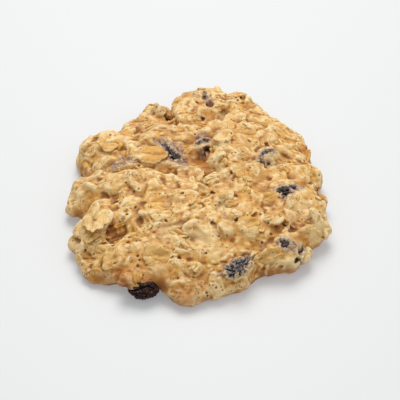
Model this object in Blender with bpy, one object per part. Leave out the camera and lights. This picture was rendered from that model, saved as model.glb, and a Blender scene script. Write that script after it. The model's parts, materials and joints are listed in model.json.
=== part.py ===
"""An oat and raisin cookie, baked as one rough drop of dough.

The dough is one solid: a domed core with folds and hollows, and rolled-oat flakes fused to it.
Every raisin that shows is a solid of its own, seated in a socket with a hair of clearance.

Tables are in millimetres and degrees, and the objects are in metres. +Z is up, +Y is the cookie's
long way and the origin is in the middle of its underside. Angles turn anticlockwise from +X.
"""

import math
import random

import bmesh
import bpy
from mathutils import Euler, Matrix, Vector, noise
from mathutils.bvhtree import BVHTree

MM = 0.001
MERGE = 0.02                 # points nearer than this are one point

# ---------------------------------------------------------------- driving dimensions
HALF_WIDTH = 43.5            # mean half width of the dough, before its lobes
HALF_DEPTH = 51.0            # mean half depth
CROWN = 13.8                 # height of the smooth dome at the middle
RIM = 8.2                    # thickness of the dough near its edge
DOME_POWER = 0.8             # below 1 the dome is flatter on top
CENTRE = (0.15, 0.35)        # shift that brings the origin to the middle of the finished cookie
RAISIN_GAP = 0.45            # between a raisin and its socket, at the corners of their facets
FLOOR_GAP = 0.4              # flakes and raisins reach no lower than this above the underside

# The core's mesh: the top is a square grid bent into a disc, and rings make the side and the base.
GRID = 28                    # cells along the grid, even, so that a point falls in the middle
AROUND = 4 * GRID            # steps round the rings
BASE_RINGS = 2
SHOULDER = 0.93              # share of the radius where the top turns down into the side
EDGE_FADE = 0.5              # how much of the relief is lost on the way to the edge

# The side below the shoulder, as a share of the radius and of the local rim thickness.
SIDE = ((0.968, 0.86), (0.991, 0.64), (1.0, 0.4), (0.997, 0.18), (0.98, 0.0))

# Lobes (+) and notches (-) of the outline: angle, reach, spread.
LOBES = (
    ("right tooth", 7, 1.4, 4),
    ("notch over the tooth", 16, -2.4, 5),
    ("upper right", 40, 2.6, 10),
    ("back lobe, right", 69, 4.6, 8),
    ("back lobe, left", 89, 4.5, 10),
    ("back notch", 105, -9.4, 2.4),
    ("hump beside the notch", 112, 2.4, 5),
    ("upper left flank", 129, -4.6, 11),
    ("upper left knob", 151, 4.2, 10),
    ("left notch", 171, -2.4, 5),
    ("left bulge", 190, 2.4, 8),
    ("dent under the bulge", 201, -2.8, 5),
    ("lower left lobe", 228, 8.8, 14),
    ("lip over the front raisin", 250, 1.6, 5),
    ("front tongue", 265, 4.2, 8),
    ("front right dent", 296, -2.0, 6),
    ("front right corner", 310, 5.2, 6),
    ("right haunch", 331, 3.6, 13),
    ("right notch", 358, -5.0, 4),
)

# Thicker (+) and thinner (-) stretches of the rim: angle, change, spread.
RIM_CHANGES = (
    ("thick haunch", 335, 2.0, 28),
    ("thin lower left", 233, -2.2, 22),
    ("left bulge", 188, 0.8, 14),
    ("upper left knob", 150, 0.6, 14),
    ("back lobe", 82, 2.4, 24),
    ("front tongue", 266, -1.6, 8),
)

# Places where the edge stands clear of the surface below: angle, how far in, spread.
UNDERCUTS = (
    ("under the haunch's lip", 312, 4.0, 10),
    ("round the front raisin", 250, 6.0, 7),
    ("under the lower left lobe", 226, 2.0, 8),
    ("under the left bulge", 190, 2.0, 8),
    ("under the upper right", 30, 1.8, 14),
)
UNDERCUT_LIFT = 0.45         # the edge's lowest points rise by this share of the undercut

# Mounds (+) and hollows (-) of the top: x, y, height, half length along x and y, turn.
MOUNDS = (
    ("right shoulder", 19, 17, 2.3, 13, 17, 0),
    ("lip of the middle hollow", 8.0, 10, 2.0, 3.2, 9, -4),
    ("back lobe", 6, 45, 1.0, 13, 7, 0),
    ("upper left ridge", -17, 22, 1.4, 9, 6, 40),
    ("upper left knob", -33, 20, 1.6, 8, 6, 0),
    ("left shoulder", -24, -5.5, 2.1, 13, 6.0, -8),
    ("flake pile", -36, -20, 2.2, 5.5, 8, 0),
    ("front dome", -3, -25, 1.3, 17, 12, 0),
    ("front left crest", -14, -42, 1.4, 8, 5.5, 0),
    ("right haunch", 33, -18, 1.6, 9, 13, 0),
    ("bed of the bright flake", 16, -28, 0.9, 7, 6, 0),
    ("middle hollow", -1.5, 11, -4.0, 5.6, 9.5, 0),
    ("pit under the middle raisin", 2.8, 10, -2.2, 2.6, 3.4, 0),
    ("left cavity", -26.5, -29, -4.4, 5.0, 4.2, -20),
    ("hollow at the left notch", -40, 5, -2.6, 6, 4, 0),
    ("brown hollow", -38, -12, -2.0, 4.5, 3.2, 0),
    ("hollow over the lip", 24, -32, -1.8, 6.5, 4.5, 25),
    ("lower left saddle", -33, -34, -1.4, 6, 5, 0),
    ("saddle beside the tongue", 2, -49, -1.2, 5, 5, 0),
    ("upper right dip", 12, 31, -0.9, 6, 5, 0),
)

# Folds, where two masses of dough meet: depth, half width and the points that they pass.
FOLDS = (
    ("left fold", 2.8, 2.3, ((-42, 5), (-31, 4.5), (-21, 4), (-8, 0), (0, -2), (6, -1))),
    ("back fold", 2.4, 2.4, ((-10, 30), (-2, 30), (4, 30), (8, 34), (14, 40), (24, 43))),
    ("gully of the back notch", 4.2, 2.4, ((-14, 48), (-12, 38), (-10.5, 29))),
    ("band beside the shoulder", 2.0, 1.9, ((10, 37), (6.5, 25), (5, 19))),
    ("upper left crease", 1.2, 1.7, ((-20, 24), (-21, 18), (-26, 14))),
    ("front crease", 1.2, 2.0, ((-22, -33), (-12, -31), (-6, -31), (2, -35))),
    ("right crease", 1.2, 2.0, ((36, 1), (26, -3), (17, -6))),
    ("tongue crease", 1.4, 1.8, ((-11, -46), (-6, -47.5), (0, -46))),
)

# Crags of the whole surface: size of the bumps and their height.
CRAGS = ((17.0, 1.0), (8.0, 0.7), (4.5, 0.35))
SIDE_CRAGS = 0.9             # their share on the side
CRAG_SEED = Vector((3.7, 11.2, 5.9))

# Raisins: middle (x, y, z), length, width, height, then turn, tilt and roll.
RAISINS = (
    ("raisin_front", -17.0, -48.8, 3.9, 10.5, 8.0, 7.0, 12, 0, 10),
    ("raisin_lower_right", 13.0, -44.0, 7.6, 11.0, 6.8, 6.4, 32, -4, 0),
    ("raisin_right", 30.4, -9.8, 10.4, 10.0, 6.6, 6.2, 25, 6, 0),
    ("raisin_upper_right", 24.4, 8.2, 12.2, 9.6, 8.2, 5.4, 50, 0, 8),
    ("raisin_middle", 2.4, 17.0, 10.2, 9.2, 7.2, 5.8, 35, 8, 0),
    ("raisin_upper_left", -9.8, 10.8, 11.0, 12.0, 6.2, 5.6, -52, 10, 0),
    ("raisin_left", -25.8, 5.2, 9.8, 10.0, 5.4, 4.6, 10, -4, 0),
    ("raisin_back", 4.0, 45.2, 9.2, 8.4, 5.4, 6.0, 85, -8, 0),
    ("raisin_haunch", 28.6, -33.4, 7.6, 8.6, 6.4, 6.0, -38, 14, 0),
    ("raisin_edge", 34.6, -33.8, 4.4, 7.0, 5.6, 5.2, 40, 0, 0),
)
RAISIN_DETAIL = 3            # icosphere level
SOCKET_DETAIL = 2
RAISIN_FURROWS = 7           # furrows round a raisin
FURROW_DEPTH = 0.26          # as a share of its half size
FURROW_WAVER = 3.2           # how far the furrows wander
FOLD_DEPTH = 0.14            # folds of the skin between them

# Flakes that are told apart on the real one: x, y, length, width, turn, tilt, roll, standing proud.
FLAKES = (
    ("gold flake", -16.0, 8.6, 11.0, 8.4, -8, 0, 8, 0.3),
    ("round flake", -31.5, 19.0, 8.6, 8.0, 20, -8, 8, 0.2),
    ("pile, top", -35.0, -21.0, 10.5, 8.6, 60, 10, -14, 1.0),
    ("pile, right", -31.5, -23.5, 9.0, 7.0, 80, 6, -24, 1.1),
    ("pile, left", -38.0, -25.0, 9.5, 6.5, 75, -6, 20, 0.6),
    ("low flake", -27.0, -39.5, 9.5, 7.5, 70, -10, 12, 0.4),
    ("big flake", -13.0, -40.8, 9.6, 8.8, 0, -8, 0, 0.4),
    ("narrow flake", -6.0, -36.0, 7.8, 3.8, -52, 0, 24, 0.5),
    ("bright flake", 16.5, -28.0, 8.8, 7.6, 30, -6, -8, 0.6),
    ("tongue of the bright flake", 17.6, -31.0, 6.0, 3.6, 30, 0, 0, 0.8),
    ("tip flake", -0.5, -45.0, 5.4, 4.6, 70, 12, 0, 0.4),
    ("small pale flake", 6.0, -3.4, 5.2, 3.8, 20, 0, 0, 0.6),
    ("small pale tongue", 5.2, -8.0, 5.0, 2.8, 25, 14, 0, 0.7),
    ("yellow flake", 23.0, -14.5, 8.6, 4.6, 24, 0, 10, 0.2),
    ("yellow flake, right", 33.0, -17.0, 8.8, 7.2, 70, 0, 14, 0.3),
    ("oval flake", 14.5, 48.5, 9.6, 6.6, 25, 8, 0, 0.6),
    ("pointed flake", -11.2, -47.0, 7.8, 5.4, -55, -16, 0, 0.3),
    ("shoulder flake", 9.0, 15.0, 9.4, 6.4, 55, 0, 0, 0.2),
    ("back left flake", -4.0, 41.0, 9.0, 7.6, 80, 0, 6, 0.2),
    ("middle flake", 5.0, -25.0, 8.6, 6.0, -15, 0, 0, 0.2),
    ("lip flake", 24.0, -38.5, 9.8, 5.6, 18, -8, 0, 0.3),
    ("knob flake", 40.2, -7.8, 6.2, 4.8, 80, 20, 0, 0.8),
    ("upper left end", -40.0, 20.0, 8.4, 6.4, 75, 0, -16, 0.2),
)

# The other flakes are spread by a seeded rule.
SPREAD_FLAKES = 84
SPREAD_SEED = 20
SPREAD_TRIES = 14            # candidates for each, of which the one furthest from the rest is taken
ROOM_AT_RAISINS = 3.6        # from a raisin's end to a flake's middle
HEIGHT_COUNTS = 0.4          # share of a difference in height in the distance between flakes
FLAKE_LENGTHS = (6.4, 10.4)
FLAKE_SLENDER = (0.58, 0.86)  # width over length
FLAKE_CROWN = 0.8            # height of its creased middle over its edge
FLAKE_ROOT = 1.8             # depth of its underside below its edge
FLAKE_TILT = 17.0
SIDE_FLAKE_TILT = 7.0        # flakes on the side lie closer to the dough
FLAKE_PROUD = (-0.2, 0.5)
FLAKE_POINTS = 8             # corners of its edge
FLAKE_UNEVEN = 0.25          # rise and fall of those corners
ON_TOP = 0.6                 # a flake whose surface points up more than this is on the top
LOWEST_FLAKE = 2.6           # height of the lowest flake's middle

COLOURS = {
    "dough": ((0.63, 0.38, 0.15), 0.62),
    "raisin": ((0.022, 0.013, 0.018), 0.38),
}


# ---------------------------------------------------------------- the dough's form
def bell(distance):
    return math.exp(-distance * distance)


def turn_between(angle, other):
    """Degrees from one direction to another, the short way."""
    return (angle - other + 180.0) % 360.0 - 180.0


def bells_round(table, angle):
    return sum(size * bell(turn_between(angle, at) / spread) for _, at, size, spread in table)


def outline(angle):
    """Reach of the dough's widest line in a direction."""
    along, across = math.cos(math.radians(angle)), math.sin(math.radians(angle))
    ellipse = HALF_WIDTH * HALF_DEPTH / math.hypot(HALF_DEPTH * along, HALF_WIDTH * across)
    return ellipse + bells_round(LOBES, angle)


def distance_to_path(x, y, path):
    here = Vector((x, y))
    nearest = math.inf
    for start, end in zip(path, path[1:]):
        a, run = Vector(start), Vector(end) - Vector(start)
        along = max(0.0, min(1.0, (here - a).dot(run) / run.length_squared))
        nearest = min(nearest, (here - a - run * along).length)
    return nearest


def relief(x, y):
    """Mounds, hollows and folds of the top, together."""
    height = 0.0
    for _, mx, my, size, half_x, half_y, turn in MOUNDS:
        across = Matrix.Rotation(math.radians(-turn), 2) @ Vector((x - mx, y - my))
        height += size * bell(math.hypot(across.x / half_x, across.y / half_y))
    for _, depth, half_width, path in FOLDS:
        height -= depth * bell(distance_to_path(x, y, path) / half_width)
    return height


def crags(point):
    return sum(size * noise.noise(point / scale + CRAG_SEED * scale) for scale, size in CRAGS)


def top_height(share, angle, x, y):
    """Height of the top at a share of the radius, up to the shoulder."""
    rim = RIM + bells_round(RIM_CHANGES, angle)
    dome = (1.0 - (share / SHOULDER) ** 2) ** DOME_POWER
    kept = 1.0 - EDGE_FADE * share ** 6
    return rim + (CROWN - rim) * dome + relief(x, y) * kept


def polar(reach, angle, height):
    turn = math.radians(angle)
    return Vector((reach * math.cos(turn), reach * math.sin(turn), height))


def disc_place(column, row):
    """Share of the radius and angle of a grid point, with the square's rings bent into circles."""
    across, along = 2.0 * column / GRID - 1.0, 2.0 * row / GRID - 1.0
    if abs(across) > abs(along):
        angle = 45.0 * along / across
        return abs(across), angle + (180.0 if across < 0.0 else 0.0)
    if along == 0.0:
        return 0.0, 0.0
    angle = 90.0 - 45.0 * across / along
    return abs(along), angle + (180.0 if along < 0.0 else 0.0)


def top_point(column, row):
    disc, angle = disc_place(column, row)
    share = disc * SHOULDER
    point = polar(outline(angle) * share, angle, 0.0)
    point.z = top_height(share, angle, point.x, point.y)
    point.z += crags(point)
    return point


def border_of_grid():
    """Columns and rows of the grid's border, anticlockwise from its lower right corner."""
    steps = range(GRID)
    return ([(GRID, step) for step in steps] + [(GRID - step, GRID) for step in steps]
            + [(0, GRID - step) for step in steps] + [(step, 0) for step in steps])


def side_ring(shoulders, share, level):
    """One line round the side, uneven outwards and pulled in where the edge is undercut."""
    ring = []
    for shoulder in shoulders:
        angle = math.degrees(math.atan2(shoulder.y, shoulder.x))
        undercut = bells_round(UNDERCUTS, angle)
        reach = outline(angle) * share - undercut * (1.0 - level) ** 2
        lift = UNDERCUT_LIFT * undercut if 0.0 < level < 0.5 else 0.0
        point = polar(reach, angle, shoulder.z * level + lift)
        if level > 0.0:
            point += polar(SIDE_CRAGS * crags(point), angle, 0.0)
        ring.append(point)
    return ring


def dough_core():
    mesh = bmesh.new()
    top = {(column, row): mesh.verts.new(top_point(column, row))
           for column in range(GRID + 1) for row in range(GRID + 1)}
    for column in range(GRID):
        for row in range(GRID):
            mesh.faces.new((top[column, row], top[column + 1, row],
                            top[column + 1, row + 1], top[column, row + 1]))
    lines = [[top[place] for place in border_of_grid()]]
    shoulders = [vertex.co.copy() for vertex in lines[0]]
    rings = [side_ring(shoulders, share, level) for share, level in SIDE]
    for ring in range(1, BASE_RINGS + 1):
        rings.append([point * (1.0 - ring / (BASE_RINGS + 1)) for point in rings[len(SIDE) - 1]])
    lines += [[mesh.verts.new(point) for point in ring] for ring in rings]
    bottom = mesh.verts.new((0.0, 0.0, 0.0))
    for step in range(AROUND):
        after = (step + 1) % AROUND
        for upper, lower in zip(lines, lines[1:]):
            mesh.faces.new((upper[step], lower[step], lower[after], upper[after]))
        mesh.faces.new((bottom, lines[-1][after], lines[-1][step]))
    bmesh.ops.triangulate(mesh, faces=mesh.faces[:])
    bmesh.ops.recalc_face_normals(mesh, faces=mesh.faces[:])
    return mesh


# ---------------------------------------------------------------- flakes
def flake_mesh(length, width, number):
    """One rolled oat: an uneven oval lens with a lengthwise crease. Its number settles its edge."""
    draw = random.Random(number)
    mesh = bmesh.new()
    edge = []
    for step in range(FLAKE_POINTS):
        angle = 2.0 * math.pi * (step + draw.uniform(-0.22, 0.22)) / FLAKE_POINTS
        reach = draw.uniform(0.88, 1.1)
        edge.append(mesh.verts.new((0.5 * length * reach * math.cos(angle),
                                    0.5 * width * reach * math.sin(angle),
                                    draw.uniform(-FLAKE_UNEVEN, FLAKE_UNEVEN))))
    crease = [mesh.verts.new((side * 0.2 * length, draw.uniform(-0.08, 0.08) * width,
                              FLAKE_CROWN)) for side in (1, -1)]
    under = mesh.verts.new((0.0, 0.0, -FLAKE_ROOT))
    for step, corner in enumerate(edge):
        after = edge[(step + 1) % FLAKE_POINTS]
        side = 0 if corner.co.x + after.co.x > 0 else 1
        mesh.faces.new((corner, after, crease[side]))
        mesh.faces.new((after, corner, under))
    turns = [edge[step] for step in range(FLAKE_POINTS)
             if (edge[step - 1].co.x + edge[step].co.x > 0)
             != (edge[step].co.x + edge[(step + 1) % FLAKE_POINTS].co.x > 0)]
    for corner in turns:
        mesh.faces.new((corner, crease[0], crease[1]))
    bmesh.ops.recalc_face_normals(mesh, faces=mesh.faces[:])
    return mesh


def lean(roll, tilt, turn):
    angles = [math.radians(angle) for angle in (roll, tilt, turn)]
    return Euler(angles, "XYZ").to_matrix().to_4x4()


def keep_off_floor(mesh):
    lowest = min(vertex.co.z for vertex in mesh.verts)
    if lowest < FLOOR_GAP:
        bmesh.ops.translate(mesh, verts=mesh.verts[:], vec=(0.0, 0.0, FLOOR_GAP - lowest))


def seat_flake(spot, normal, turn, tilt, roll, proud):
    """Place for a flake that lies on the surface, tilted a little and partly sunk."""
    seat = Vector((0.0, 0.0, 1.0)).rotation_difference(normal).to_matrix().to_4x4()
    return Matrix.Translation(spot + normal * proud) @ seat @ lean(roll, -tilt, turn)


def clear_of_raisins(spot):
    return all((spot - Vector(raisin[1:4])).length > 0.5 * raisin[4] + ROOM_AT_RAISINS
               for raisin in RAISINS)


def named_flakes(core):
    """Length, width and place of the flakes that are told apart."""
    surface = BVHTree.FromBMesh(core)
    for _, x, y, length, width, turn, tilt, roll, proud in FLAKES:
        above = Vector((x, y, 4.0 * CROWN))
        spot, normal, _, _ = surface.ray_cast(above, Vector((0.0, 0.0, -1.0)))
        yield length, width, seat_flake(spot, normal, turn, tilt, roll, proud)


def spread_spots(core, draw):
    """Places over the top and the side, each as far as a few tries can find from the others."""
    faces = [face for face in core.faces if face.calc_center_median().z > LOWEST_FLAKE]
    areas = [face.calc_area() for face in faces]
    taken = [Vector((flake[1], flake[2], CROWN)) for flake in FLAKES]
    while len(taken) < len(FLAKES) + SPREAD_FLAKES:
        best, best_room = None, 0.0
        for face in draw.choices(faces, areas, k=SPREAD_TRIES):
            spot = face.calc_center_median()
            if not clear_of_raisins(spot):
                continue
            room = min(math.hypot(spot.x - other.x, spot.y - other.y,
                                  HEIGHT_COUNTS * (spot.z - other.z)) for other in taken)
            if room > best_room:
                best, best_room = (spot, face.normal.copy()), room
        if best:
            taken.append(best[0])
            yield best


def spread_flakes(core):
    """Length, width and place of the others."""
    draw = random.Random(SPREAD_SEED)
    for spot, normal in list(spread_spots(core, draw)):
        length = draw.uniform(*FLAKE_LENGTHS)
        width = length * draw.uniform(*FLAKE_SLENDER)
        on_top = normal.z > ON_TOP
        most = FLAKE_TILT if on_top else SIDE_FLAKE_TILT
        proud = draw.uniform(*FLAKE_PROUD) if on_top else FLAKE_PROUD[0]
        seat = seat_flake(spot, normal, draw.uniform(0, 180), draw.uniform(-most, most),
                          draw.uniform(-most, most), proud)
        yield length, width, seat


def flake_pieces(core):
    flakes = [*named_flakes(core), *spread_flakes(core)]
    pieces = []
    for number, (length, width, seat) in enumerate(flakes):
        mesh = flake_mesh(length, width, number)
        mesh.transform(seat)
        keep_off_floor(mesh)
        pieces.append(mesh)
    return pieces


# ---------------------------------------------------------------- raisins
def raisin_seat(raisin):
    _, x, y, z, _, _, _, turn, tilt, roll = raisin
    return Matrix.Translation((x, y, z)) @ lean(roll, tilt, turn)


def raisin_mesh(raisin):
    """A dried berry: furrows run from end to end and its skin is folded between them."""
    mesh = bmesh.new()
    bmesh.ops.create_icosphere(mesh, subdivisions=RAISIN_DETAIL, radius=1.0)
    own = Vector((raisin[1], raisin[2], raisin[3]))
    for vertex in mesh.verts:
        round_it = math.atan2(vertex.co.z, vertex.co.y)
        waver = FURROW_WAVER * noise.noise(vertex.co * 1.6 + own)
        furrow = abs(math.sin(0.5 * RAISIN_FURROWS * round_it + waver + own.x))
        fold = max(0.0, noise.noise(vertex.co * 3.1 + own))
        vertex.co *= 1.0 - FURROW_DEPTH * (1.0 - furrow) - FOLD_DEPTH * fold
    bmesh.ops.scale(mesh, verts=mesh.verts[:], vec=[0.5 * size for size in raisin[4:7]])
    mesh.transform(raisin_seat(raisin))
    keep_off_floor(mesh)
    return mesh


def socket_mesh(raisin):
    mesh = bmesh.new()
    bmesh.ops.create_icosphere(mesh, subdivisions=SOCKET_DETAIL, radius=1.0)
    bmesh.ops.scale(mesh, verts=mesh.verts[:], vec=[0.5 * size + RAISIN_GAP for size in raisin[4:7]])
    mesh.transform(raisin_seat(raisin))
    return mesh


# ---------------------------------------------------------------- objects
def finish(name):
    """The material of a kind of piece."""
    material = bpy.data.materials.get(name) or bpy.data.materials.new(name)
    colour, roughness = COLOURS[name]
    material.use_nodes = True
    shader = material.node_tree.nodes["Principled BSDF"]
    shader.inputs["Base Color"].default_value = (*colour, 1.0)
    shader.inputs["Roughness"].default_value = roughness
    shader.inputs["Metallic"].default_value = 0.0
    return material


def add_object(name, mesh, material, collection):
    """Turn a bmesh in millimetres into an object in metres, moved to the part's own middle."""
    mesh.transform(Matrix.Scale(MM, 4) @ Matrix.Translation((-CENTRE[0], -CENTRE[1], 0.0)))
    data = bpy.data.meshes.new(name)
    mesh.to_mesh(data)
    mesh.free()
    data.materials.append(finish(material))
    piece = bpy.data.objects.new(name, data)
    collection.objects.link(piece)
    return piece


def boolean_with(piece, meshes, operation):
    """Join or cut an object with many meshes in one step, and keep only the result."""
    helpers = bpy.data.collections.new(operation.title())
    bpy.context.scene.collection.children.link(helpers)
    for number, mesh in enumerate(meshes):
        add_object(f"helper_{number}", mesh, "dough", helpers)
    change = piece.modifiers.new(operation.title(), "BOOLEAN")
    change.operation = operation
    change.operand_type = "COLLECTION"
    change.collection = helpers
    change.solver = "EXACT"
    bpy.context.view_layer.update()
    evaluated = piece.evaluated_get(bpy.context.evaluated_depsgraph_get())
    result = bpy.data.meshes.new_from_object(evaluated)
    piece.modifiers.clear()
    piece.data = result
    for helper in list(helpers.objects):
        bpy.data.objects.remove(helper)
    bpy.data.collections.remove(helpers)


def keep_largest_body(piece):
    """Drop loose scraps and fill hollows that the joining sealed."""
    mesh = bmesh.new()
    mesh.from_mesh(piece.data)
    bmesh.ops.remove_doubles(mesh, verts=mesh.verts[:], dist=MERGE * MM)
    left, bodies = set(mesh.verts), []
    while left:
        body, edge = set(), [left.pop()]
        while edge:
            vertex = edge.pop()
            body.add(vertex)
            for link in vertex.link_edges:
                other = link.other_vert(vertex)
                if other in left:
                    left.remove(other)
                    edge.append(other)
        bodies.append(body)
    bodies.sort(key=len)
    loose = [vertex for body in bodies[:-1] for vertex in body]
    bmesh.ops.delete(mesh, geom=loose, context="VERTS")
    bmesh.ops.triangulate(mesh, faces=mesh.faces[:])
    mesh.to_mesh(piece.data)
    mesh.free()


def build_dough(collection):
    core = dough_core()
    flakes = flake_pieces(core)
    dough = add_object("dough", core, "dough", collection)
    boolean_with(dough, flakes, "UNION")
    boolean_with(dough, [socket_mesh(raisin) for raisin in RAISINS], "DIFFERENCE")
    keep_largest_body(dough)


def build_raisins(collection):
    for raisin in RAISINS:
        piece = add_object(raisin[0], raisin_mesh(raisin), "raisin", collection)
        piece.data.shade_smooth()


def main():
    for leftover in list(bpy.data.objects):
        bpy.data.objects.remove(leftover)
    collection = bpy.context.scene.collection
    build_dough(collection)
    build_raisins(collection)


main()
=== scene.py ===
"""The looks of an oat and raisin cookie, baked as one rough drop of dough.

The dough's skin is made from the same tables and rules as its solid, with its whole oats in the
same seats and many smaller oats and bits between them. All of it is remeshed into one skin, filmed
over with dough, crumbled, pitted and opened over the raisins. Crisp oats, bits and crumbs lie on it.

Lengths are in millimetres in the cookie's plan, and angles in degrees, anticlockwise from +X. The
plan less CENTRE, in metres, is the row frame.
"""

import json
import math
import random

import bmesh
import bpy
import numpy as np
from mathutils import Euler, Matrix, Vector, noise
from mathutils.bvhtree import BVHTree
from mathutils.kdtree import KDTree

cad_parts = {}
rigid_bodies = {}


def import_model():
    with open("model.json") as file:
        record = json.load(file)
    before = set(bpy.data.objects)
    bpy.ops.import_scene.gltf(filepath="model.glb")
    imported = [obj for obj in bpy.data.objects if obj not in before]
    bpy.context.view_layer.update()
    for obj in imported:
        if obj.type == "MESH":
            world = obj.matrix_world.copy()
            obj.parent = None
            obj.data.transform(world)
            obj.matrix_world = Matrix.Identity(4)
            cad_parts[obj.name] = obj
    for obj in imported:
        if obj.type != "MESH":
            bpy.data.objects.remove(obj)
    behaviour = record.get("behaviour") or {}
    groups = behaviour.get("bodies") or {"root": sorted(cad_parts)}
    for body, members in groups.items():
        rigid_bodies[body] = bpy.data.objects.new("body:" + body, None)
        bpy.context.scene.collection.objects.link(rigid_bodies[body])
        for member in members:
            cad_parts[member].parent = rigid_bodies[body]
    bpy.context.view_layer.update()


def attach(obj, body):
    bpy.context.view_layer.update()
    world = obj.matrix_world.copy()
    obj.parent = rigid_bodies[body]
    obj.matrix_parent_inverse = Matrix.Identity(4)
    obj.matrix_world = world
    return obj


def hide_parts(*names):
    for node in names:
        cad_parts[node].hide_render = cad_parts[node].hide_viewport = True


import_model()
BODY = "root"
MM = 0.001

# ---------------------------------------------------------------- the dough's form, as in its solid
HALF_WIDTH = 43.5
HALF_DEPTH = 51.0
CROWN = 13.8
RIM = 8.2
DOME_POWER = 0.8
CENTRE = (0.15, 0.35)
FLOOR_GAP = 0.4
SEAT_GRID = 28               # the grid that the oats' seats are read from
SKIN_GRID = 84               # the finer grid of the skin's own core
BASE_RINGS = 2
SHOULDER = 0.93
EDGE_FADE = 0.5
SIDE = ((0.968, 0.86), (0.991, 0.64), (1.0, 0.4), (0.997, 0.18), (0.98, 0.0))

# Lobes (+) and notches (-) of the outline: angle, reach, spread.
LOBES = (
    ("right tooth", 7, 1.4, 4),
    ("notch over the tooth", 16, -2.4, 5),
    ("upper right", 40, 2.6, 10),
    ("back lobe, right", 69, 4.6, 8),
    ("back lobe, left", 89, 4.5, 10),
    ("back notch", 105, -9.4, 2.4),
    ("hump beside the notch", 112, 2.4, 5),
    ("upper left flank", 129, -4.6, 11),
    ("upper left knob", 151, 4.2, 10),
    ("left notch", 171, -2.4, 5),
    ("left bulge", 190, 2.4, 8),
    ("dent under the bulge", 201, -2.8, 5),
    ("lower left lobe", 228, 8.8, 14),
    ("lip over the front raisin", 250, 1.6, 5),
    ("front tongue", 265, 4.2, 8),
    ("front right dent", 296, -2.0, 6),
    ("front right corner", 310, 5.2, 6),
    ("right haunch", 331, 3.6, 13),
    ("right notch", 358, -5.0, 4),
)

# Thicker (+) and thinner (-) stretches of the rim: angle, change, spread.
RIM_CHANGES = (
    ("thick haunch", 335, 2.0, 28),
    ("thin lower left", 233, -2.2, 22),
    ("left bulge", 188, 0.8, 14),
    ("upper left knob", 150, 0.6, 14),
    ("back lobe", 82, 2.4, 24),
    ("front tongue", 266, -1.6, 8),
)

# Places where the edge stands clear of the surface below: angle, how far in, spread.
UNDERCUTS = (
    ("under the haunch's lip", 312, 4.0, 10),
    ("round the front raisin", 250, 6.0, 7),
    ("under the lower left lobe", 226, 2.0, 8),
    ("under the left bulge", 190, 2.0, 8),
    ("under the upper right", 30, 1.8, 14),
)
UNDERCUT_LIFT = 0.45

# Mounds (+) and hollows (-) of the top: x, y, height, half length along x and y, turn.
MOUNDS = (
    ("right shoulder", 19, 17, 2.3, 13, 17, 0),
    ("lip of the middle hollow", 8.0, 10, 2.0, 3.2, 9, -4),
    ("back lobe", 6, 45, 1.0, 13, 7, 0),
    ("upper left ridge", -17, 22, 1.4, 9, 6, 40),
    ("upper left knob", -33, 20, 1.6, 8, 6, 0),
    ("left shoulder", -24, -5.5, 2.1, 13, 6.0, -8),
    ("flake pile", -36, -20, 2.2, 5.5, 8, 0),
    ("front dome", -3, -25, 1.3, 17, 12, 0),
    ("front left crest", -14, -42, 1.4, 8, 5.5, 0),
    ("right haunch", 33, -18, 1.6, 9, 13, 0),
    ("bed of the bright flake", 16, -28, 0.9, 7, 6, 0),
    ("middle hollow", -1.5, 11, -4.0, 5.6, 9.5, 0),
    ("pit under the middle raisin", 2.8, 10, -2.2, 2.6, 3.4, 0),
    ("left cavity", -26.5, -29, -4.4, 5.0, 4.2, -20),
    ("hollow at the left notch", -40, 5, -2.6, 6, 4, 0),
    ("brown hollow", -38, -12, -2.0, 4.5, 3.2, 0),
    ("hollow over the lip", 24, -32, -1.8, 6.5, 4.5, 25),
    ("lower left saddle", -33, -34, -1.4, 6, 5, 0),
    ("saddle beside the tongue", 2, -49, -1.2, 5, 5, 0),
    ("upper right dip", 12, 31, -0.9, 6, 5, 0),
)

# Folds, where two masses of dough meet: depth, half width and the points that they pass.
FOLDS = (
    ("left fold", 2.8, 2.3, ((-42, 5), (-31, 4.5), (-21, 4), (-8, 0), (0, -2), (6, -1))),
    ("back fold", 2.4, 2.4, ((-10, 30), (-2, 30), (4, 30), (8, 34), (14, 40), (24, 43))),
    ("gully of the back notch", 4.2, 2.4, ((-14, 48), (-12, 38), (-10.5, 29))),
    ("band beside the shoulder", 2.0, 1.9, ((10, 37), (6.5, 25), (5, 19))),
    ("upper left crease", 1.2, 1.7, ((-20, 24), (-21, 18), (-26, 14))),
    ("front crease", 1.2, 2.0, ((-22, -33), (-12, -31), (-6, -31), (2, -35))),
    ("right crease", 1.2, 2.0, ((36, 1), (26, -3), (17, -6))),
    ("tongue crease", 1.4, 1.8, ((-11, -46), (-6, -47.5), (0, -46))),
)

CRAGS = ((17.0, 1.0), (8.0, 0.7), (4.5, 0.35))
SIDE_CRAGS = 0.9
CRAG_SEED = Vector((3.7, 11.2, 5.9))

# Raisins: middle (x, y, z), length, width, height, then turn, tilt and roll.
RAISINS = (
    ("raisin_front", -17.0, -48.8, 3.9, 10.5, 8.0, 7.0, 12, 0, 10),
    ("raisin_lower_right", 13.0, -44.0, 7.6, 11.0, 6.8, 6.4, 32, -4, 0),
    ("raisin_right", 30.4, -9.8, 10.4, 10.0, 6.6, 6.2, 25, 6, 0),
    ("raisin_upper_right", 24.4, 8.2, 12.2, 9.6, 8.2, 5.4, 50, 0, 8),
    ("raisin_middle", 2.4, 17.0, 10.2, 9.2, 7.2, 5.8, 35, 8, 0),
    ("raisin_upper_left", -9.8, 10.8, 11.0, 12.0, 6.2, 5.6, -52, 10, 0),
    ("raisin_left", -25.8, 5.2, 9.8, 10.0, 5.4, 4.6, 10, -4, 0),
    ("raisin_back", 4.0, 45.2, 9.2, 8.4, 5.4, 6.0, 85, -8, 0),
    ("raisin_haunch", 28.6, -33.4, 7.6, 8.6, 6.4, 6.0, -38, 14, 0),
    ("raisin_edge", 34.6, -33.8, 4.4, 7.0, 5.6, 5.2, 40, 0, 0),
)
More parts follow.
